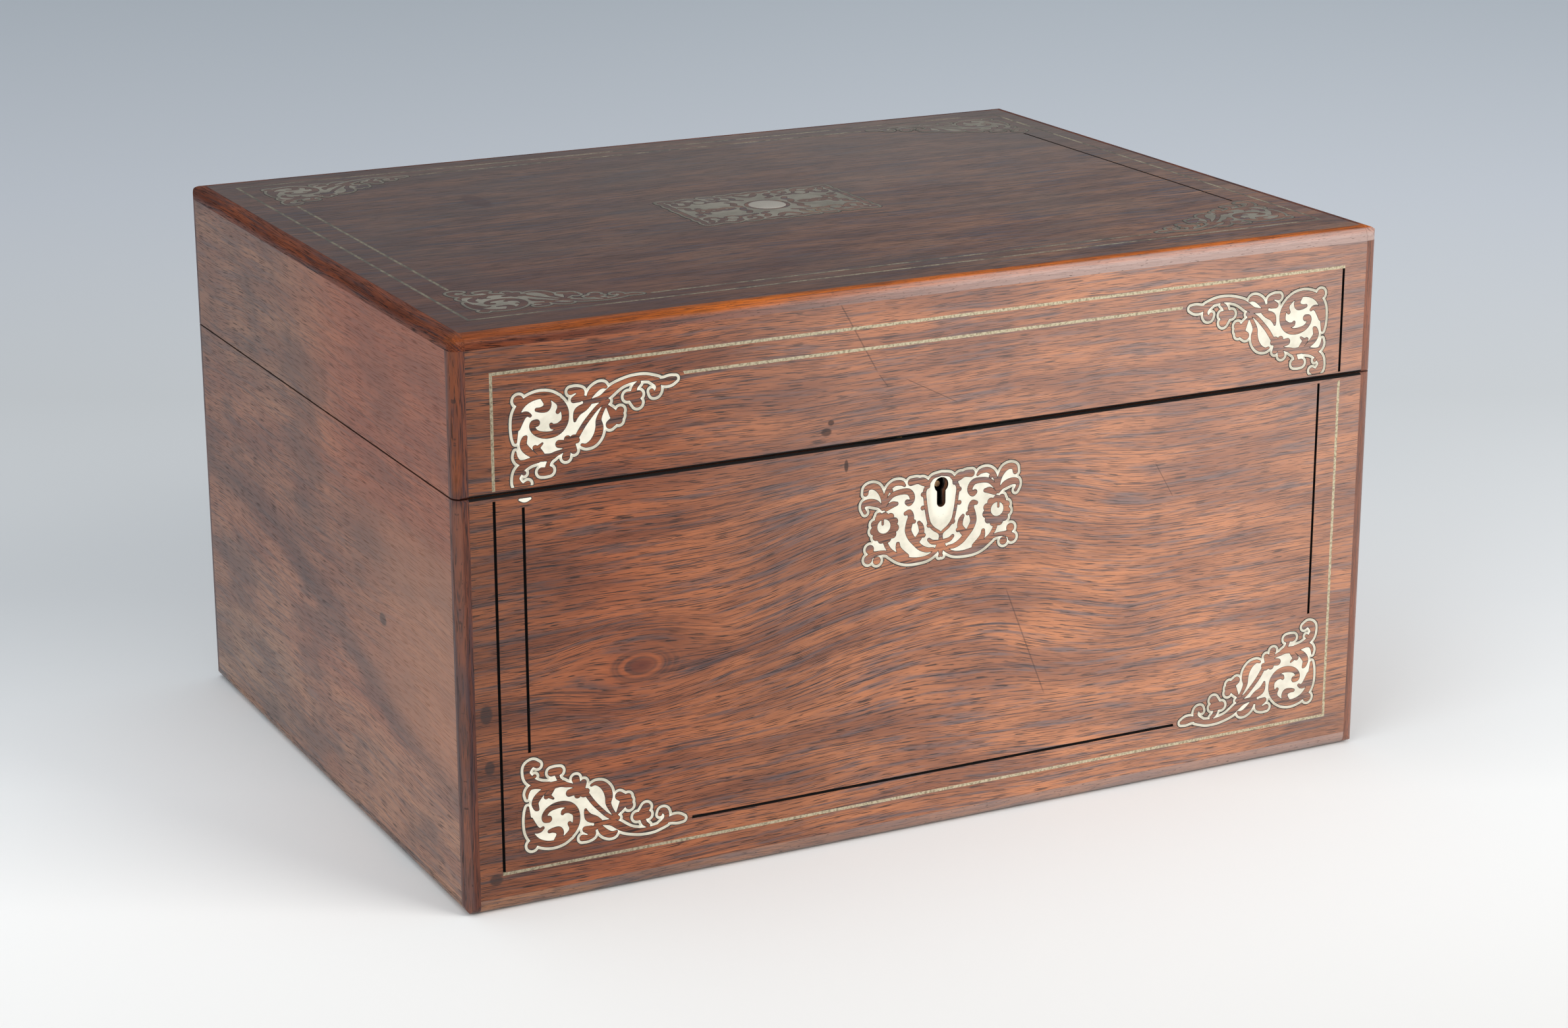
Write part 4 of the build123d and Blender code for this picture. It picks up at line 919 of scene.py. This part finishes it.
def edging_wood(finish, along, across, depth, seed, orange, painted_sheen, palette, gloss=0.28):
    """Wood of the edge strips: deep red-brown, orange where hands have rubbed it, with short dark checks and
    a painted pale sheen.
    """
    colour, rough, height = rosewood(along, across, depth, seed, palette)
    bright, _, _ = rosewood(along, across, depth, seed + 5.0, edging_orange)
    # The pale colour here is a painted sheen.
    colour = blend(painted_sheen, blend(orange, colour, bright), (0.46, 0.335, 0.300))
    checks = step(noise(along * 0.5, across * 3.0, seed + 31.0, 2.0), 0.64, 0.71)
    colour = blend(checks * 0.7, colour, check_colour)
    return dress(finish, colour, rough - 0.06, height=height - checks * 0.6, depth=0.05,
                 Coat_Weight=0.03 + painted_sheen * 0.25, Coat_Roughness=0.12, Specular_IOR_Level=gloss)


def round_the_case(x, y, z):
    """The ways along and across edge strips that run round the case."""
    joint = case_width / 2 - edging_width
    beside = step(abs(x - case_width / 2), joint - 0.2, joint + 0.2)
    return between(beside, x, y), between(beside, y, x) + z


def top_edging_finish():
    """The top's edging: orange along the front, with a painted pale sheen on its shoulder."""
    finish, (x, y, z) = new_finish("rosewood_top_edging")
    drop = case_height - z
    front_strip = step(y, 7.0, 3.5)
    wear_and_highlight = (front_strip * step(x, -60.0, 120.0)).most(step(x, 5.0, 3.0) * 0.03)
    orange = step(drop, 2.7, 1.3) * wear_and_highlight
    # Painted pale sheen on the shoulder, stronger to the right.
    shoulder = between(step(drop, 0.9, 3.4), step(x, 70.0, 190.0) * 0.62, step(x, 10.0, 230.0) * 0.88)
    painted_sheen = front_strip * step(drop, 0.2, 0.8) * shoulder
    along, across = round_the_case(x, y, z)
    return edging_wood(finish, along, across, z, 71.0, orange, painted_sheen, edging_dark, gloss=0.06)


def foot_edging_finish():
    """The foot's edging: paler along the front, a painted sheen that also turns it a little towards orange.
    """
    finish, (x, y, z) = new_finish("rosewood_foot_edging")
    # Painted sheen along the front.
    painted_sheen = step(y, 4.0, 0.5) * step(x, -80.0, 330.0) * 0.58
    along, across = round_the_case(x, y, z)
    palette = shaded(rosewood_red, (0.55, 0.66, 0.78))
    return edging_wood(finish, along, across, z, 77.0, painted_sheen * 0.3, painted_sheen, palette)


def upright_edging_finish():
    """The upright edging: dark, with a painted highlight along the front left corner below the seam, redder
    on the lid where hands lift it, and more orange under a painted sheen towards the right.
    """
    finish, (x, y, z) = new_finish("rosewood_upright_edging")
    # Towards the right: more orange and, at half strength, a painted sheen.
    warm = step(x, 60.0, 320.0) * 0.3
    corner = step(x + y, 2.7, 1.9)
    # Painted highlight along the very corner, below the seam.
    wear_and_highlight = corner * step(z, seam / MM, seam / MM - 3.0)
    handled = corner * step(z, seam / MM, seam / MM + 3.0)
    palette = shaded(edging_dark, (0.80, 0.88, 1.06))
    orange = warm + wear_and_highlight * 0.15 + handled * 0.28
    return edging_wood(finish, z, x + y, x, 83.0, orange, warm * 0.5 + wear_and_highlight * 0.08, palette)


def polished_rosewood():
    """Rims, tray and frame: straight polished wood."""
    finish, (x, y, z) = new_finish("rosewood_polished")
    palette = shaded(rosewood_red, (0.80, 0.72, 0.75))
    colour, rough, height = rosewood(x, y + z * 0.7, z, 97.0, palette, 8.0)
    return dress(finish, colour, rough - 0.08, height=height, depth=0.03,
                 Coat_Weight=0.5, Coat_Roughness=0.12)


def carcass_wood():
    """Plain reddish carcass wood of the boards."""
    finish, (x, y, z) = new_finish("carcass_mahogany")
    palette = shaded(rosewood_red, (0.92, 1.02, 1.05))
    palette["veil"], palette["dark"] = (0.13, 0.060, 0.038), (0.09, 0.040, 0.026)
    colour, rough, height = rosewood(x, y + z, z, 113.0, palette, 8.0)
    return dress(finish, colour, rough + 0.2, height=height, depth=0.06)


# Inlay, metal, glass and cloth
def pearl_finish(name, base, shade, roughness, coat):
    """Mother-of-pearl with soft clouds, faint growth lines and small scratches."""
    finish, (x, y, z) = new_finish(name)
    clouds = even_noise((x, y, z), 0.11, 3.0, 0.6)
    lines = noise(x * 0.25 + z * 0.5, y * 0.9, z * 1.4 - x * 0.6, 2.0)
    colour = blend(step(clouds, 0.35, 0.68) * 0.6, base, shade)
    colour = blend(step(lines, 0.52, 0.70) * 0.35, colour, tinted(base, (1.02, 0.93, 0.93)))
    colour = blend(step(lines, 0.46, 0.32) * 0.30, colour, tinted(base, (0.93, 1.00, 0.96)))
    colour = blend(spot(x, z, *shield_glow), colour, tinted(base, 1.06))
    grime = step(even_noise((x, y, z), 1.3), 0.66, 0.78)
    colour = blend(grime * 0.35, colour, tinted(shade, 0.45))
    return dress(finish, colour, roughness + grime * 0.3, height=lines, depth=0.02,
                 Coat_Weight=coat, Coat_Roughness=0.12, Specular_IOR_Level=0.4)


def mastic():
    """Dark old mastic round the pearl."""
    finish, place = new_finish("inlay_mastic")
    lumps = even_noise(place, 1.6)
    colour = blend(lumps, (0.012, 0.009, 0.008), (0.050, 0.036, 0.030))
    return dress(finish, colour, 0.55 + lumps * 0.2, height=lumps, depth=0.05)


def metal(name, bright, dull, rough_low, rough_high, spread):
    """A metal with tarnish in its hollows and fine rubbing marks."""
    finish, (x, y, z) = new_finish(name)
    tarnish = step(even_noise((x, y, z), spread, 4.0, 0.6), 0.42, 0.68)
    rub = noise(x * 4.0, y * 0.8, z * 0.8, 2.0)
    rough = between(tarnish, rough_low, rough_high)
    return dress(finish, blend(tarnish, bright, dull), rough, 1.0, height=rub, depth=0.01)


def stringing_finish():
    """Thin pewter strips, bright on the front and gone dark in places on the top, with painted shade
    darkening them towards the left.
    """
    finish, (x, y, z) = new_finish("pewter_stringing")
    tarnish = step(even_noise((x, y, z), 1.2, 4.0, 0.6), 0.40, 0.68)
    colour = blend(tarnish, (0.56, 0.485, 0.33), (0.25, 0.20, 0.125))
    # Painted shade towards the left.
    colour = colour * between(step(x, 0.0, 170.0), 0.62, 1.0)
    breaks = step(noise(x * 0.09, y * 0.09, 4.0, 4.0, 0.7), 0.40, 0.58)
    on_top = step(case_height - z, 1.0, 0.4)
    colour = blend(on_top * between(breaks, 0.42, 0.95), colour, (0.075, 0.066, 0.053))
    return dress(finish, colour, 0.45 + tarnish * 0.15, 0.35, height=tarnish, depth=0.01)


def velvet_finish(name, pile, crushed):
    """Velvet with a short pile, brushed lighter and darker in soft patches."""
    finish, place = new_finish(name)
    brushed = even_noise(place, 0.05, 4.0, 0.6)
    tufts = even_noise(place, 2.6, 2.0)
    colour = blend(step(brushed, 0.38, 0.62), pile, crushed)
    colour = blend(tufts * 0.4, colour, tinted(pile, 0.4))
    return dress(finish, colour, 0.95, height=tufts, depth=0.35, Sheen_Weight=0.45, Sheen_Roughness=0.45,
                 Sheen_Tint=tuple(min(1.0, value * 3 + 0.2) for value in crushed))


def mirror_silver():
    """Old mirror: bright silvering that has gone dark in specks near its edge."""
    finish, (x, y, z) = new_finish("mirror_silvering")
    half_width, half_depth = case_width / 2, case_depth / 2
    near_edge = (abs(x - half_width) / half_width).most(abs(y - half_depth) / half_depth)
    specks = noise(x * 0.35, y * 0.35, 1.0, 5.0, 0.7)
    foxing = step(specks + near_edge * 0.28, 0.80, 0.90)
    colour = blend(foxing, (0.86, 0.87, 0.86), (0.20, 0.17, 0.13))
    return dress(finish, colour, 0.03 + foxing * 0.5, 1.0 - foxing * 0.6)


def cut_glass():
    """Clear pressed glass with faint waves."""
    finish, (x, y, z) = new_finish("jar_glass")
    waves = noise(x * 0.12, y * 0.12, z * 0.2, 2.0)
    return dress(finish, (0.93, 0.96, 0.95), 0.02 + waves * 0.03, height=waves, depth=0.25,
                 Transmission_Weight=1.0, IOR=1.5)


# Soft and small pieces
def eased(t):
    """Packs a grid's lines towards both edges, where the pad rolls over."""
    return 0.5 - 0.5 * math.cos(math.pi * t)


def smooth(mesh):
    for face in mesh.polygons:
        face.use_smooth = True


def soft_panel(low, high, thin, side, crown, seed):
    """A velvet pad: flat against what carries it, softly rounded and a little uneven on its open side.
    thin is the axis it is thin along, and side tells which way its open side looks."""
    first, second = (axis for axis in range(3) if axis != thin)
    width, length = high[first] - low[first], high[second] - low[second]
    columns, rows = (max(4, int(span / (pad_step * MM))) for span in (width, length))
    base = low[thin] if side > 0 else high[thin]
    random.seed(seed)
    phase = [random.uniform(0, 2 * math.pi) for _ in range(4)]
    whole = bmesh.new()

    def corner(i, j, raised):
        s, t = eased(i / columns), eased(j / rows)
        near = min(s * width, (1 - s) * width, t * length, (1 - t) * length)
        roll = math.sqrt(max(0.0, 1 - (1 - min(near / crown, 1.0)) ** 2))
        ripple = 0.06 * math.sin(s * width * 90 + phase[0] + 1.7 * math.sin(t * length * 60 + phase[1]))
        ripple += 0.05 * math.sin(t * length * 130 + phase[2] + math.sin(s * width * 50 + phase[3]))
        point = [0.0, 0.0, 0.0]
        point[first] = low[first] + s * width
        point[second] = low[second] + t * length
        point[thin] = base + side * crown * raised * roll * (0.88 + ripple)
        return whole.verts.new(point)

    lower = [[corner(i, j, 0) for j in range(rows + 1)] for i in range(columns + 1)]
    upper = []
    for i in range(columns + 1):
        made = []
        for j in range(rows + 1):
            edge = i in (0, columns) or j in (0, rows)
            made.append(lower[i][j] if edge else corner(i, j, 1))
        upper.append(made)
    for grid, turn in ((lower, -1), (upper, 1)):
        for i in range(columns):
            for j in range(rows):
                face = [grid[i][j], grid[i + 1][j], grid[i + 1][j + 1], grid[i][j + 1]]
                whole.faces.new(face[::turn])
    bmesh.ops.recalc_face_normals(whole, faces=whole.faces)
    return finished_mesh("panel", whole)


def wall_pads(node, crown, seed):
    """Four pads round the inside of a lined well, butted at the corners."""
    low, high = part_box(node)
    pads = []
    for index, (thin, side) in enumerate(((0, 1), (0, -1), (1, 1), (1, -1))):
        start, end = Vector(low), Vector(high)
        if thin == 1:
            start.x += crown
            end.x -= crown
        if side > 0:
            end[thin] = start[thin] + crown
        else:
            start[thin] = end[thin] - crown
        pads.append(soft_panel(start, end, thin, side, crown, seed + index))
    return pads


def add_pad(name, body, node, panels):
    """A velvet piece made of panels, in place of a plain lining solid."""
    pad = joined(name, [(panel, Matrix()) for panel in panels])
    smooth(pad.data)
    settle(pad, body, finishes["velvet"], [node])


def solid_islands(node):
    """The lowest and highest corner of each separate solid in a CAD node."""
    whole = bmesh.new()
    whole.from_mesh(nodes[node].data)
    bmesh.ops.remove_doubles(whole, verts=whole.verts, dist=1e-6)
    seen, boxes = set(), []
    for vert in whole.verts:
        if vert in seen:
            continue
        waiting, island = [vert], []
        seen.add(vert)
        while waiting:
            here = waiting.pop()
            island.append(here.co.copy())
            for edge in here.link_edges:
                other = edge.other_vert(here)
                if other not in seen:
                    seen.add(other)
                    waiting.append(other)
        low, high = ([pick(point[axis] for point in island) for axis in range(3)] for pick in (min, max))
        boxes.append((Vector(low), Vector(high)))
    whole.free()
    return sorted(boxes, key=lambda box: tuple(box[0]))


def boss_mesh(radius, rise, sides=40, steps=8):
    """A low round boss with a soft brow."""
    whole = bmesh.new()
    profile = [(radius, 0.0)]
    for index in range(steps):
        angle = math.pi / 2 * index / steps
        profile.append((radius * math.cos(angle) ** 0.7, rise * (0.25 + 0.75 * math.sin(angle))))
    rings = []
    for reach, height in profile:
        angles = [2 * math.pi * index / sides for index in range(sides)]
        rings.append([whole.verts.new((reach * math.cos(a), reach * math.sin(a), height)) for a in angles])
    crown = whole.verts.new((0, 0, rise))
    for lower, upper in zip(rings, rings[1:] + [[crown] * sides]):
        for index in range(sides):
            following = (index + 1) % sides
            corners = [lower[index], lower[following], upper[following], upper[index]]
            whole.faces.new(list(dict.fromkeys(corners)))
    whole.faces.new(reversed(rings[0]))
    bmesh.ops.recalc_face_normals(whole, faces=whole.faces)
    return finished_mesh("boss", whole)


def screw_mesh(radius, rise, slot_angle, steps=14):
    """A flat screw head with a softened rim and a sawn slot, standing a little above its countersink."""
    slot = radius * 0.16
    slot_reach = radius * 0.97
    whole = bmesh.new()
    for side in (1, -1):
        rim = []
        start = math.asin(slot / radius)
        for index in range(steps + 1):
            angle = start + (math.pi - 2 * start) * index / steps
            rim.append((radius * math.cos(angle), side * radius * math.sin(angle)))
        eased_rim = [(x * 0.9, (y - side * slot) * 0.9 + side * slot) for x, y in rim]
        foot = [whole.verts.new((x, y, 0)) for x, y in rim]
        brow = [whole.verts.new((x, y, rise * 0.6)) for x, y in rim]
        crown = [whole.verts.new((x, y, rise)) for x, y in eased_rim]
        for lower, upper in ((foot, brow), (brow, crown)):
            for index in range(len(lower)):
                following = (index + 1) % len(lower)
                whole.faces.new([lower[index], lower[following], upper[following], upper[index]])
        whole.faces.new(crown)
        whole.faces.new(list(reversed(foot)))
    whole.faces.new([whole.verts.new((x * slot_reach, y * slot, rise * 0.15))
                     for x, y in ((-1, -1), (1, -1), (1, 1), (-1, 1))])
    bmesh.ops.recalc_face_normals(whole, faces=whole.faces)
    bmesh.ops.rotate(whole, verts=whole.verts, cent=(0, 0, 0), matrix=Matrix.Rotation(slot_angle, 3, "Z"))
    return finished_mesh("screw", whole)


def screws(name, body, slot, radius, places, out):
    """Screw heads on one face, each turned a little differently. out is the way that the face looks."""
    parts = []
    random.seed(len(places) * 7 + int(radius * MM * 1e5))
    upright = Vector(out).to_track_quat("Z", "Y").to_matrix().to_4x4()
    for place in places:
        mesh = screw_mesh(radius * MM, screw_rise * MM, random.uniform(0, math.pi))
        parts.append((mesh, Matrix.Translation(place) @ upright))
    settle(joined(name, parts), body, finishes[slot])


# Finishes
finishes = {
    "front": front_finish(),
    "back": back_finish(),
    "side": side_finish(),
    "top": top_finish(),
    "top_edging": top_edging_finish(),
    "foot_edging": foot_edging_finish(),
    "upright_edging": upright_edging_finish(),
    "polished": polished_rosewood(),
    "carcass": carcass_wood(),
    "pearl": pearl_finish("pearl_bright", (0.80, 0.76, 0.64), (0.50, 0.46, 0.36), 0.30, 0.4),
    "pearl_rim": pearl_finish("pearl_bright_rim", (0.62, 0.58, 0.47), (0.36, 0.32, 0.24), 0.34, 0.3),
    # The top's pearl, its rim and the boss are much darker copies of the front's pearl: partly dulled,
    # partly painted shade of the top.
    "top_pearl": pearl_finish("pearl_dulled_and_shaded", (0.20, 0.18, 0.145), (0.10, 0.088, 0.068), 0.50, 0.05),
    "top_rim": pearl_finish("pearl_dulled_and_shaded_rim", (0.15, 0.134, 0.105), (0.07, 0.061, 0.046), 0.50, 0.05),
    "boss": pearl_finish("pearl_boss", (0.31, 0.28, 0.24), (0.23, 0.205, 0.17), 0.45, 0.1),
    "mastic": mastic(),
    "pewter": stringing_finish(),
    "brass": metal("brass", (0.58, 0.42, 0.20), (0.40, 0.28, 0.13), 0.28, 0.42, 0.12),
    "dull_brass": metal("dull_brass", (0.40, 0.24, 0.12), (0.16, 0.09, 0.05), 0.34, 0.55, 0.4),
    "steel": metal("lock_steel", (0.46, 0.45, 0.43), (0.22, 0.18, 0.15), 0.30, 0.55, 0.3),
    "silver": metal("silver_plate", (0.78, 0.76, 0.72), (0.60, 0.56, 0.50), 0.16, 0.28, 0.05),
    "velvet": velvet_finish("crimson_velvet", (0.085, 0.008, 0.013), (0.155, 0.018, 0.025)),
    "mirror": mirror_silver(),
    "glass": cut_glass(),
}

jars = ["front_left_jar", "front_right_jar", "back_left_jar", "back_right_jar"]
node_finishes = {
    "front": ["base_front_veneer", "lid_front_veneer"],
    "back": ["base_back_veneer", "lid_back_veneer"],
    "side": ["base_side_veneers", "lid_side_veneers"],
    "top": ["lid_top_veneer"],
    "top_edging": ["lid_top_edging"],
    "foot_edging": ["base_bottom_edging"],
    "upright_edging": ["base_corner_edging", "lid_corner_edging"],
    "polished": ["base_rim_facing", "lid_rim_facing", "tray_floor", "tray_walls", "tray_dividers",
                 "tray_bearers", "mirror_frame"],
    "carcass": ["base_front_board", "base_back_board", "base_side_boards", "bottom_board", "lid_front_board",
                "lid_back_board", "lid_side_boards", "lid_top_board", "mirror_back"],
    "pewter": ["base_stringing", "lid_stringing"],
    "brass": ["base_hinge_leaves", "hinge_pins", "lid_hinge_leaves", "link_plate"],
    "dull_brass": ["lock_pin"],
    "steel": ["lock_case", "lock_bolt"],
    "silver": [f"{jar}_lid" for jar in jars],
    "mirror": ["mirror_glass"],
    "glass": jars,
}
for finish_name, members in node_finishes.items():
    for member in members:
        for material_slot in nodes[member].material_slots:
            material_slot.material = finishes[finish_name]

front_layers = {"ground": finishes["front"], "mastic": finishes["mastic"], "infill": finishes["front"],
                "rim": finishes["pearl_rim"], "pearl": finishes["pearl"]}
top_layers = {"ground": finishes["top"], "mastic": finishes["mastic"], "infill": finishes["top"],
              "rim": finishes["top_rim"], "pearl": finishes["top_pearl"]}


# Ornament
def on_front(zero, x, z, across, up):
    """Where a drawing lies on the front. across and up are 1, or -1 for a drawing turned over."""
    return zero, (x, front, z), (across, 0, 0), (0, 0, up), (0, -1, 0)


def on_top(zero, x, y, across=1, up=1):
    """Where a drawing lies on the top, in the same terms."""
    return zero, (x, y, top), (across, 0, 0), (0, up, 0), (0, 0, 1)


def add_spandrels():
    drawing, layers = spandrel_drawing()
    meshes = layer_meshes(drawing, layers)
    foot = base_spandrel_foot * MM
    places = [on_front(spandrel_zero, left + base_spandrel_left * MM, foot, 1, 1),
              on_front(spandrel_zero, right - base_spandrel_right * MM, foot, -1, 1)]
    lay_inlay("base_spandrel", "base", meshes, places, front_layers, ["base_spandrels"])
    places = []
    for x, across in ((left + top_spandrel_left * MM, 1), (right - top_spandrel_right * MM, -1)):
        for y, up in ((front + top_spandrel_front * MM, 1), (back - top_spandrel_back * MM, -1)):
            places.append(on_top(spandrel_zero, x, y, across, up))
    lay_inlay("top_spandrel", "lid", meshes, places, top_layers, ["lid_top_spandrels"])
    for side, x, drop, across, replaced in (
        ("left", left + lid_spandrel_left * MM, lid_spandrel_left_drop * MM, 1, ["lid_front_spandrels"]),
        ("right", right - lid_spandrel_right * MM, lid_spandrel_right_drop * MM, -1, []),
    ):
        face_height = (top - drop - seam) / MM - lid_face_ease
        face_end = spandrel_zero[1] - face_height / drawing_scale
        cut_meshes = layer_meshes(drawing, layers, face_end, face_end + lid_pearl_trim / drawing_scale)
        lay_inlay(f"lid_spandrel_{side}", "lid", cut_meshes,
                  [on_front(spandrel_zero, x, top - drop, across, -1)], front_layers, replaced)


def add_sliver():
    """The end of the lid's left spandrel that stayed on the base."""
    drawing = Drawing(sliver_size)
    shape = np.maximum(drawing.outside_strokes([sliver_stroke]), drawing.short_of(0))
    layers = {"ground": shape - ground_width / 2, "mastic": shape - mastic_width, "pearl": shape}
    layers = {name: np.maximum(field, drawing.short_of(-mastic_width)) for name, field in layers.items()}
    low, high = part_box("spandrel_sliver")
    place = on_front((sliver_middle, 0), (low.x + high.x) / 2, high.z, 1, 1)
    lay_inlay("sliver", "base", layer_meshes(drawing, layers), [place], front_layers, ["spandrel_sliver"])


def add_escutcheon():
    place = on_front(escutcheon_zero, left + escutcheon_left * MM, top - escutcheon_drop * MM, 1, 1)
    lay_inlay("escutcheon", "base", layer_meshes(*escutcheon_drawing()), [place], front_layers,
              ["escutcheon_fret", "keyhole_plate"])


def add_cartouche():
    low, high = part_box("top_cartouche")
    middle_y = (low.y + high.y) / 2
    lay_inlay("top_cartouche", "lid", layer_meshes(*cartouche_drawing()),
              [on_top(cartouche_middle, 0, middle_y)], top_layers, ["top_cartouche"])
    mesh = boss_mesh(boss_radius * MM, boss_rise * MM)
    boss = joined("top_cartouche_boss", [(mesh, Matrix.Translation((0, middle_y, top)))])
    smooth(boss.data)
    settle(boss, "lid", finishes["boss"])


def add_linings():
    """Velvet pads in place of the plain lining solids."""
    low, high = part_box("well_floor_lining")
    add_pad("well_floor_pad", "base", "well_floor_lining", [soft_panel(low, high, 2, 1, high.z - low.z, 5)])
    for body, walls, crown, seed in (("base", "well_wall", base_pad_crown, 11),
                                     ("lid", "lid_wall", lid_pad_crown, 21)):
        lining = f"{walls}_lining"
        add_pad(f"{walls}_pads", body, lining, wall_pads(lining, crown * MM, seed))
    add_pad("tray_pads", "tray", "tray_velvet", [
        soft_panel(low, high, 2, 1, high.z - low.z, 31 + index)
        for index, (low, high) in enumerate(solid_islands("tray_velvet"))
    ])


def add_screws():
    """Screw heads in the hinge leaves, the lock plate and the link plate."""
    for body, rim, out, plate, plate_metal in (
        ("base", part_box("base_rim_facing")[1].z, (0, 0, 1), "lock_case", "steel"),
        ("lid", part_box("lid_rim_facing")[0].z, (0, 0, -1), "link_plate", "brass"),
    ):
        places = []
        for low, high in solid_islands(f"{body}_hinge_leaves"):
            for offset in (-hinge_screw_gap * MM, 0, hinge_screw_gap * MM):
                places.append(((low.x + high.x) / 2 + offset, low.y + hinge_screw_inset * MM, rim))
        screws(f"{body}_hinge_screws", body, "brass", hinge_screw_radius, places, out)
        low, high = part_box("link_plate")
        places = [((low.x + high.x) / 2 + side * lock_screw_reach * MM, (low.y + high.y) / 2, rim)
                  for side in (-1, 1)]
        screws(f"{plate}_screws", body, plate_metal, lock_screw_radius, places, out)


# The screws come first, as the saw's nicks round the inlay follow the seed that they leave
add_screws()
add_spandrels()
add_sliver()
add_escutcheon()
add_cartouche()
add_linings()


# Camera
lens_length = 78.455
camera_turn = Matrix((
    (0.89191765, 0.13492249, -0.43160032),
    (-0.45219277, 0.26158607, -0.85269832),
    (-0.00214755, 0.95570322, 0.2943242),
))
camera_place = (-0.473901, -0.948594, 0.393035)


def add_camera():
    """The photograph's view, as fitted to the case's corners in it."""
    data = bpy.data.cameras.new("camera")
    data.sensor_fit = "HORIZONTAL"
    data.sensor_width = 36.0
    data.lens = lens_length
    data.clip_start = 0.01
    data.clip_end = 100.0
    camera = new_piece("camera", data)
    camera.matrix_world = Matrix.Translation(camera_place) @ camera_turn.to_4x4()
    bpy.context.scene.camera = camera


# Light
def area_light(name, place, target, size, power, colour):
    data = bpy.data.lights.new(name, "AREA")
    data.size = size
    data.energy = power
    data.color = colour
    lamp = new_piece(name, data)
    lamp.location = place
    lamp.rotation_euler = (Vector(target) - Vector(place)).to_track_quat("-Z", "Y").to_euler()


def add_world():
    """A bright ceiling over dimmer walls."""
    world = bpy.data.worlds.new("studio")
    bpy.context.scene.world = world
    world.use_nodes = True
    height = Wire(world.node_tree).node("TexCoord", result="Generated").axes()[2]
    colour = blend(step(height, 0.15, 0.85), (0.13, 0.135, 0.14), (0.64, 0.70, 0.75))
    plug(world.node_tree, world.node_tree.nodes["Background"].inputs["Color"], colour)


# Floor, in metres, with its shading in millimetres from the case's front left corner
floor_reach = 12.0
floor_gap = 0.2 * MM
shading_start = (-321.5, -833.7)
shading_heading = (0.4516, 0.8922)
shading_length = 2800.0
shading_sides = (-350.0, 300.0)
shading_near = (1200.0, 1000.0)
# Painted light on the floor: a pool of light round the case that fades far behind it.
floor_painted_light = [(0.0, (0.52, 0.525, 0.53)), (0.20, (0.63, 0.625, 0.615)), (0.285, (0.75, 0.735, 0.715)),
               (0.352, (0.86, 0.86, 0.85)), (0.421, (0.69, 0.695, 0.70)), (0.52, (0.57, 0.58, 0.59)),
               (0.671, (0.57, 0.59, 0.63)), (0.91, (0.56, 0.59, 0.63))]


def add_floor():
    """A wide pale surface with painted light: brightest round the case, fading to blue-grey far behind it,
    and a little lighter on one side than the other.
    """
    mesh = bpy.data.meshes.new("floor")
    corners = [(x * floor_reach, y * floor_reach, 0) for x, y in ((-1, -1), (1, -1), (1, 1), (-1, 1))]
    mesh.from_pydata(corners, [], [(0, 1, 2, 3)])
    floor = new_piece("floor", mesh)
    floor.location.z = solid_box[0][2] - floor_gap
    finish, (x, y, z) = new_finish("floor_surface")
    x, y = x - shading_start[0], y - shading_start[1]
    away = x * shading_heading[0] + y * shading_heading[1]
    aside = x * shading_heading[1] - y * shading_heading[0]
    level = step(aside, *shading_sides)
    near = step(away, *shading_near)
    colour = ramp(away, shading_length, floor_painted_light)
    # Painted light and shade from side to side, swapping sides with distance.
    colour = colour * between(near, between(level, 0.94, 1.03), between(level, 1.06, 0.95))
    floor.data.materials.append(dress(finish, colour, 0.9, Specular_IOR_Level=0.2))


add_camera()
add_world()
area_light("window", (1.1, -1.5, 1.0), (0.05, -0.05, 0.08), 1.3, 35.0, (1.0, 0.97, 0.93))
area_light("overhead", (-0.5, 0.3, 1.8), (-0.3, 0.0, 0.0), 1.6, 7.5, (1.0, 1.0, 1.0))
area_light("fill", (-1.6, -0.9, 0.9), (0.0, 0.0, 0.08), 1.4, 16.0, (0.97, 0.98, 1.0))
bpy.context.scene.view_settings.view_transform = "Standard"
add_floor()

bpy.context.view_layer.update()
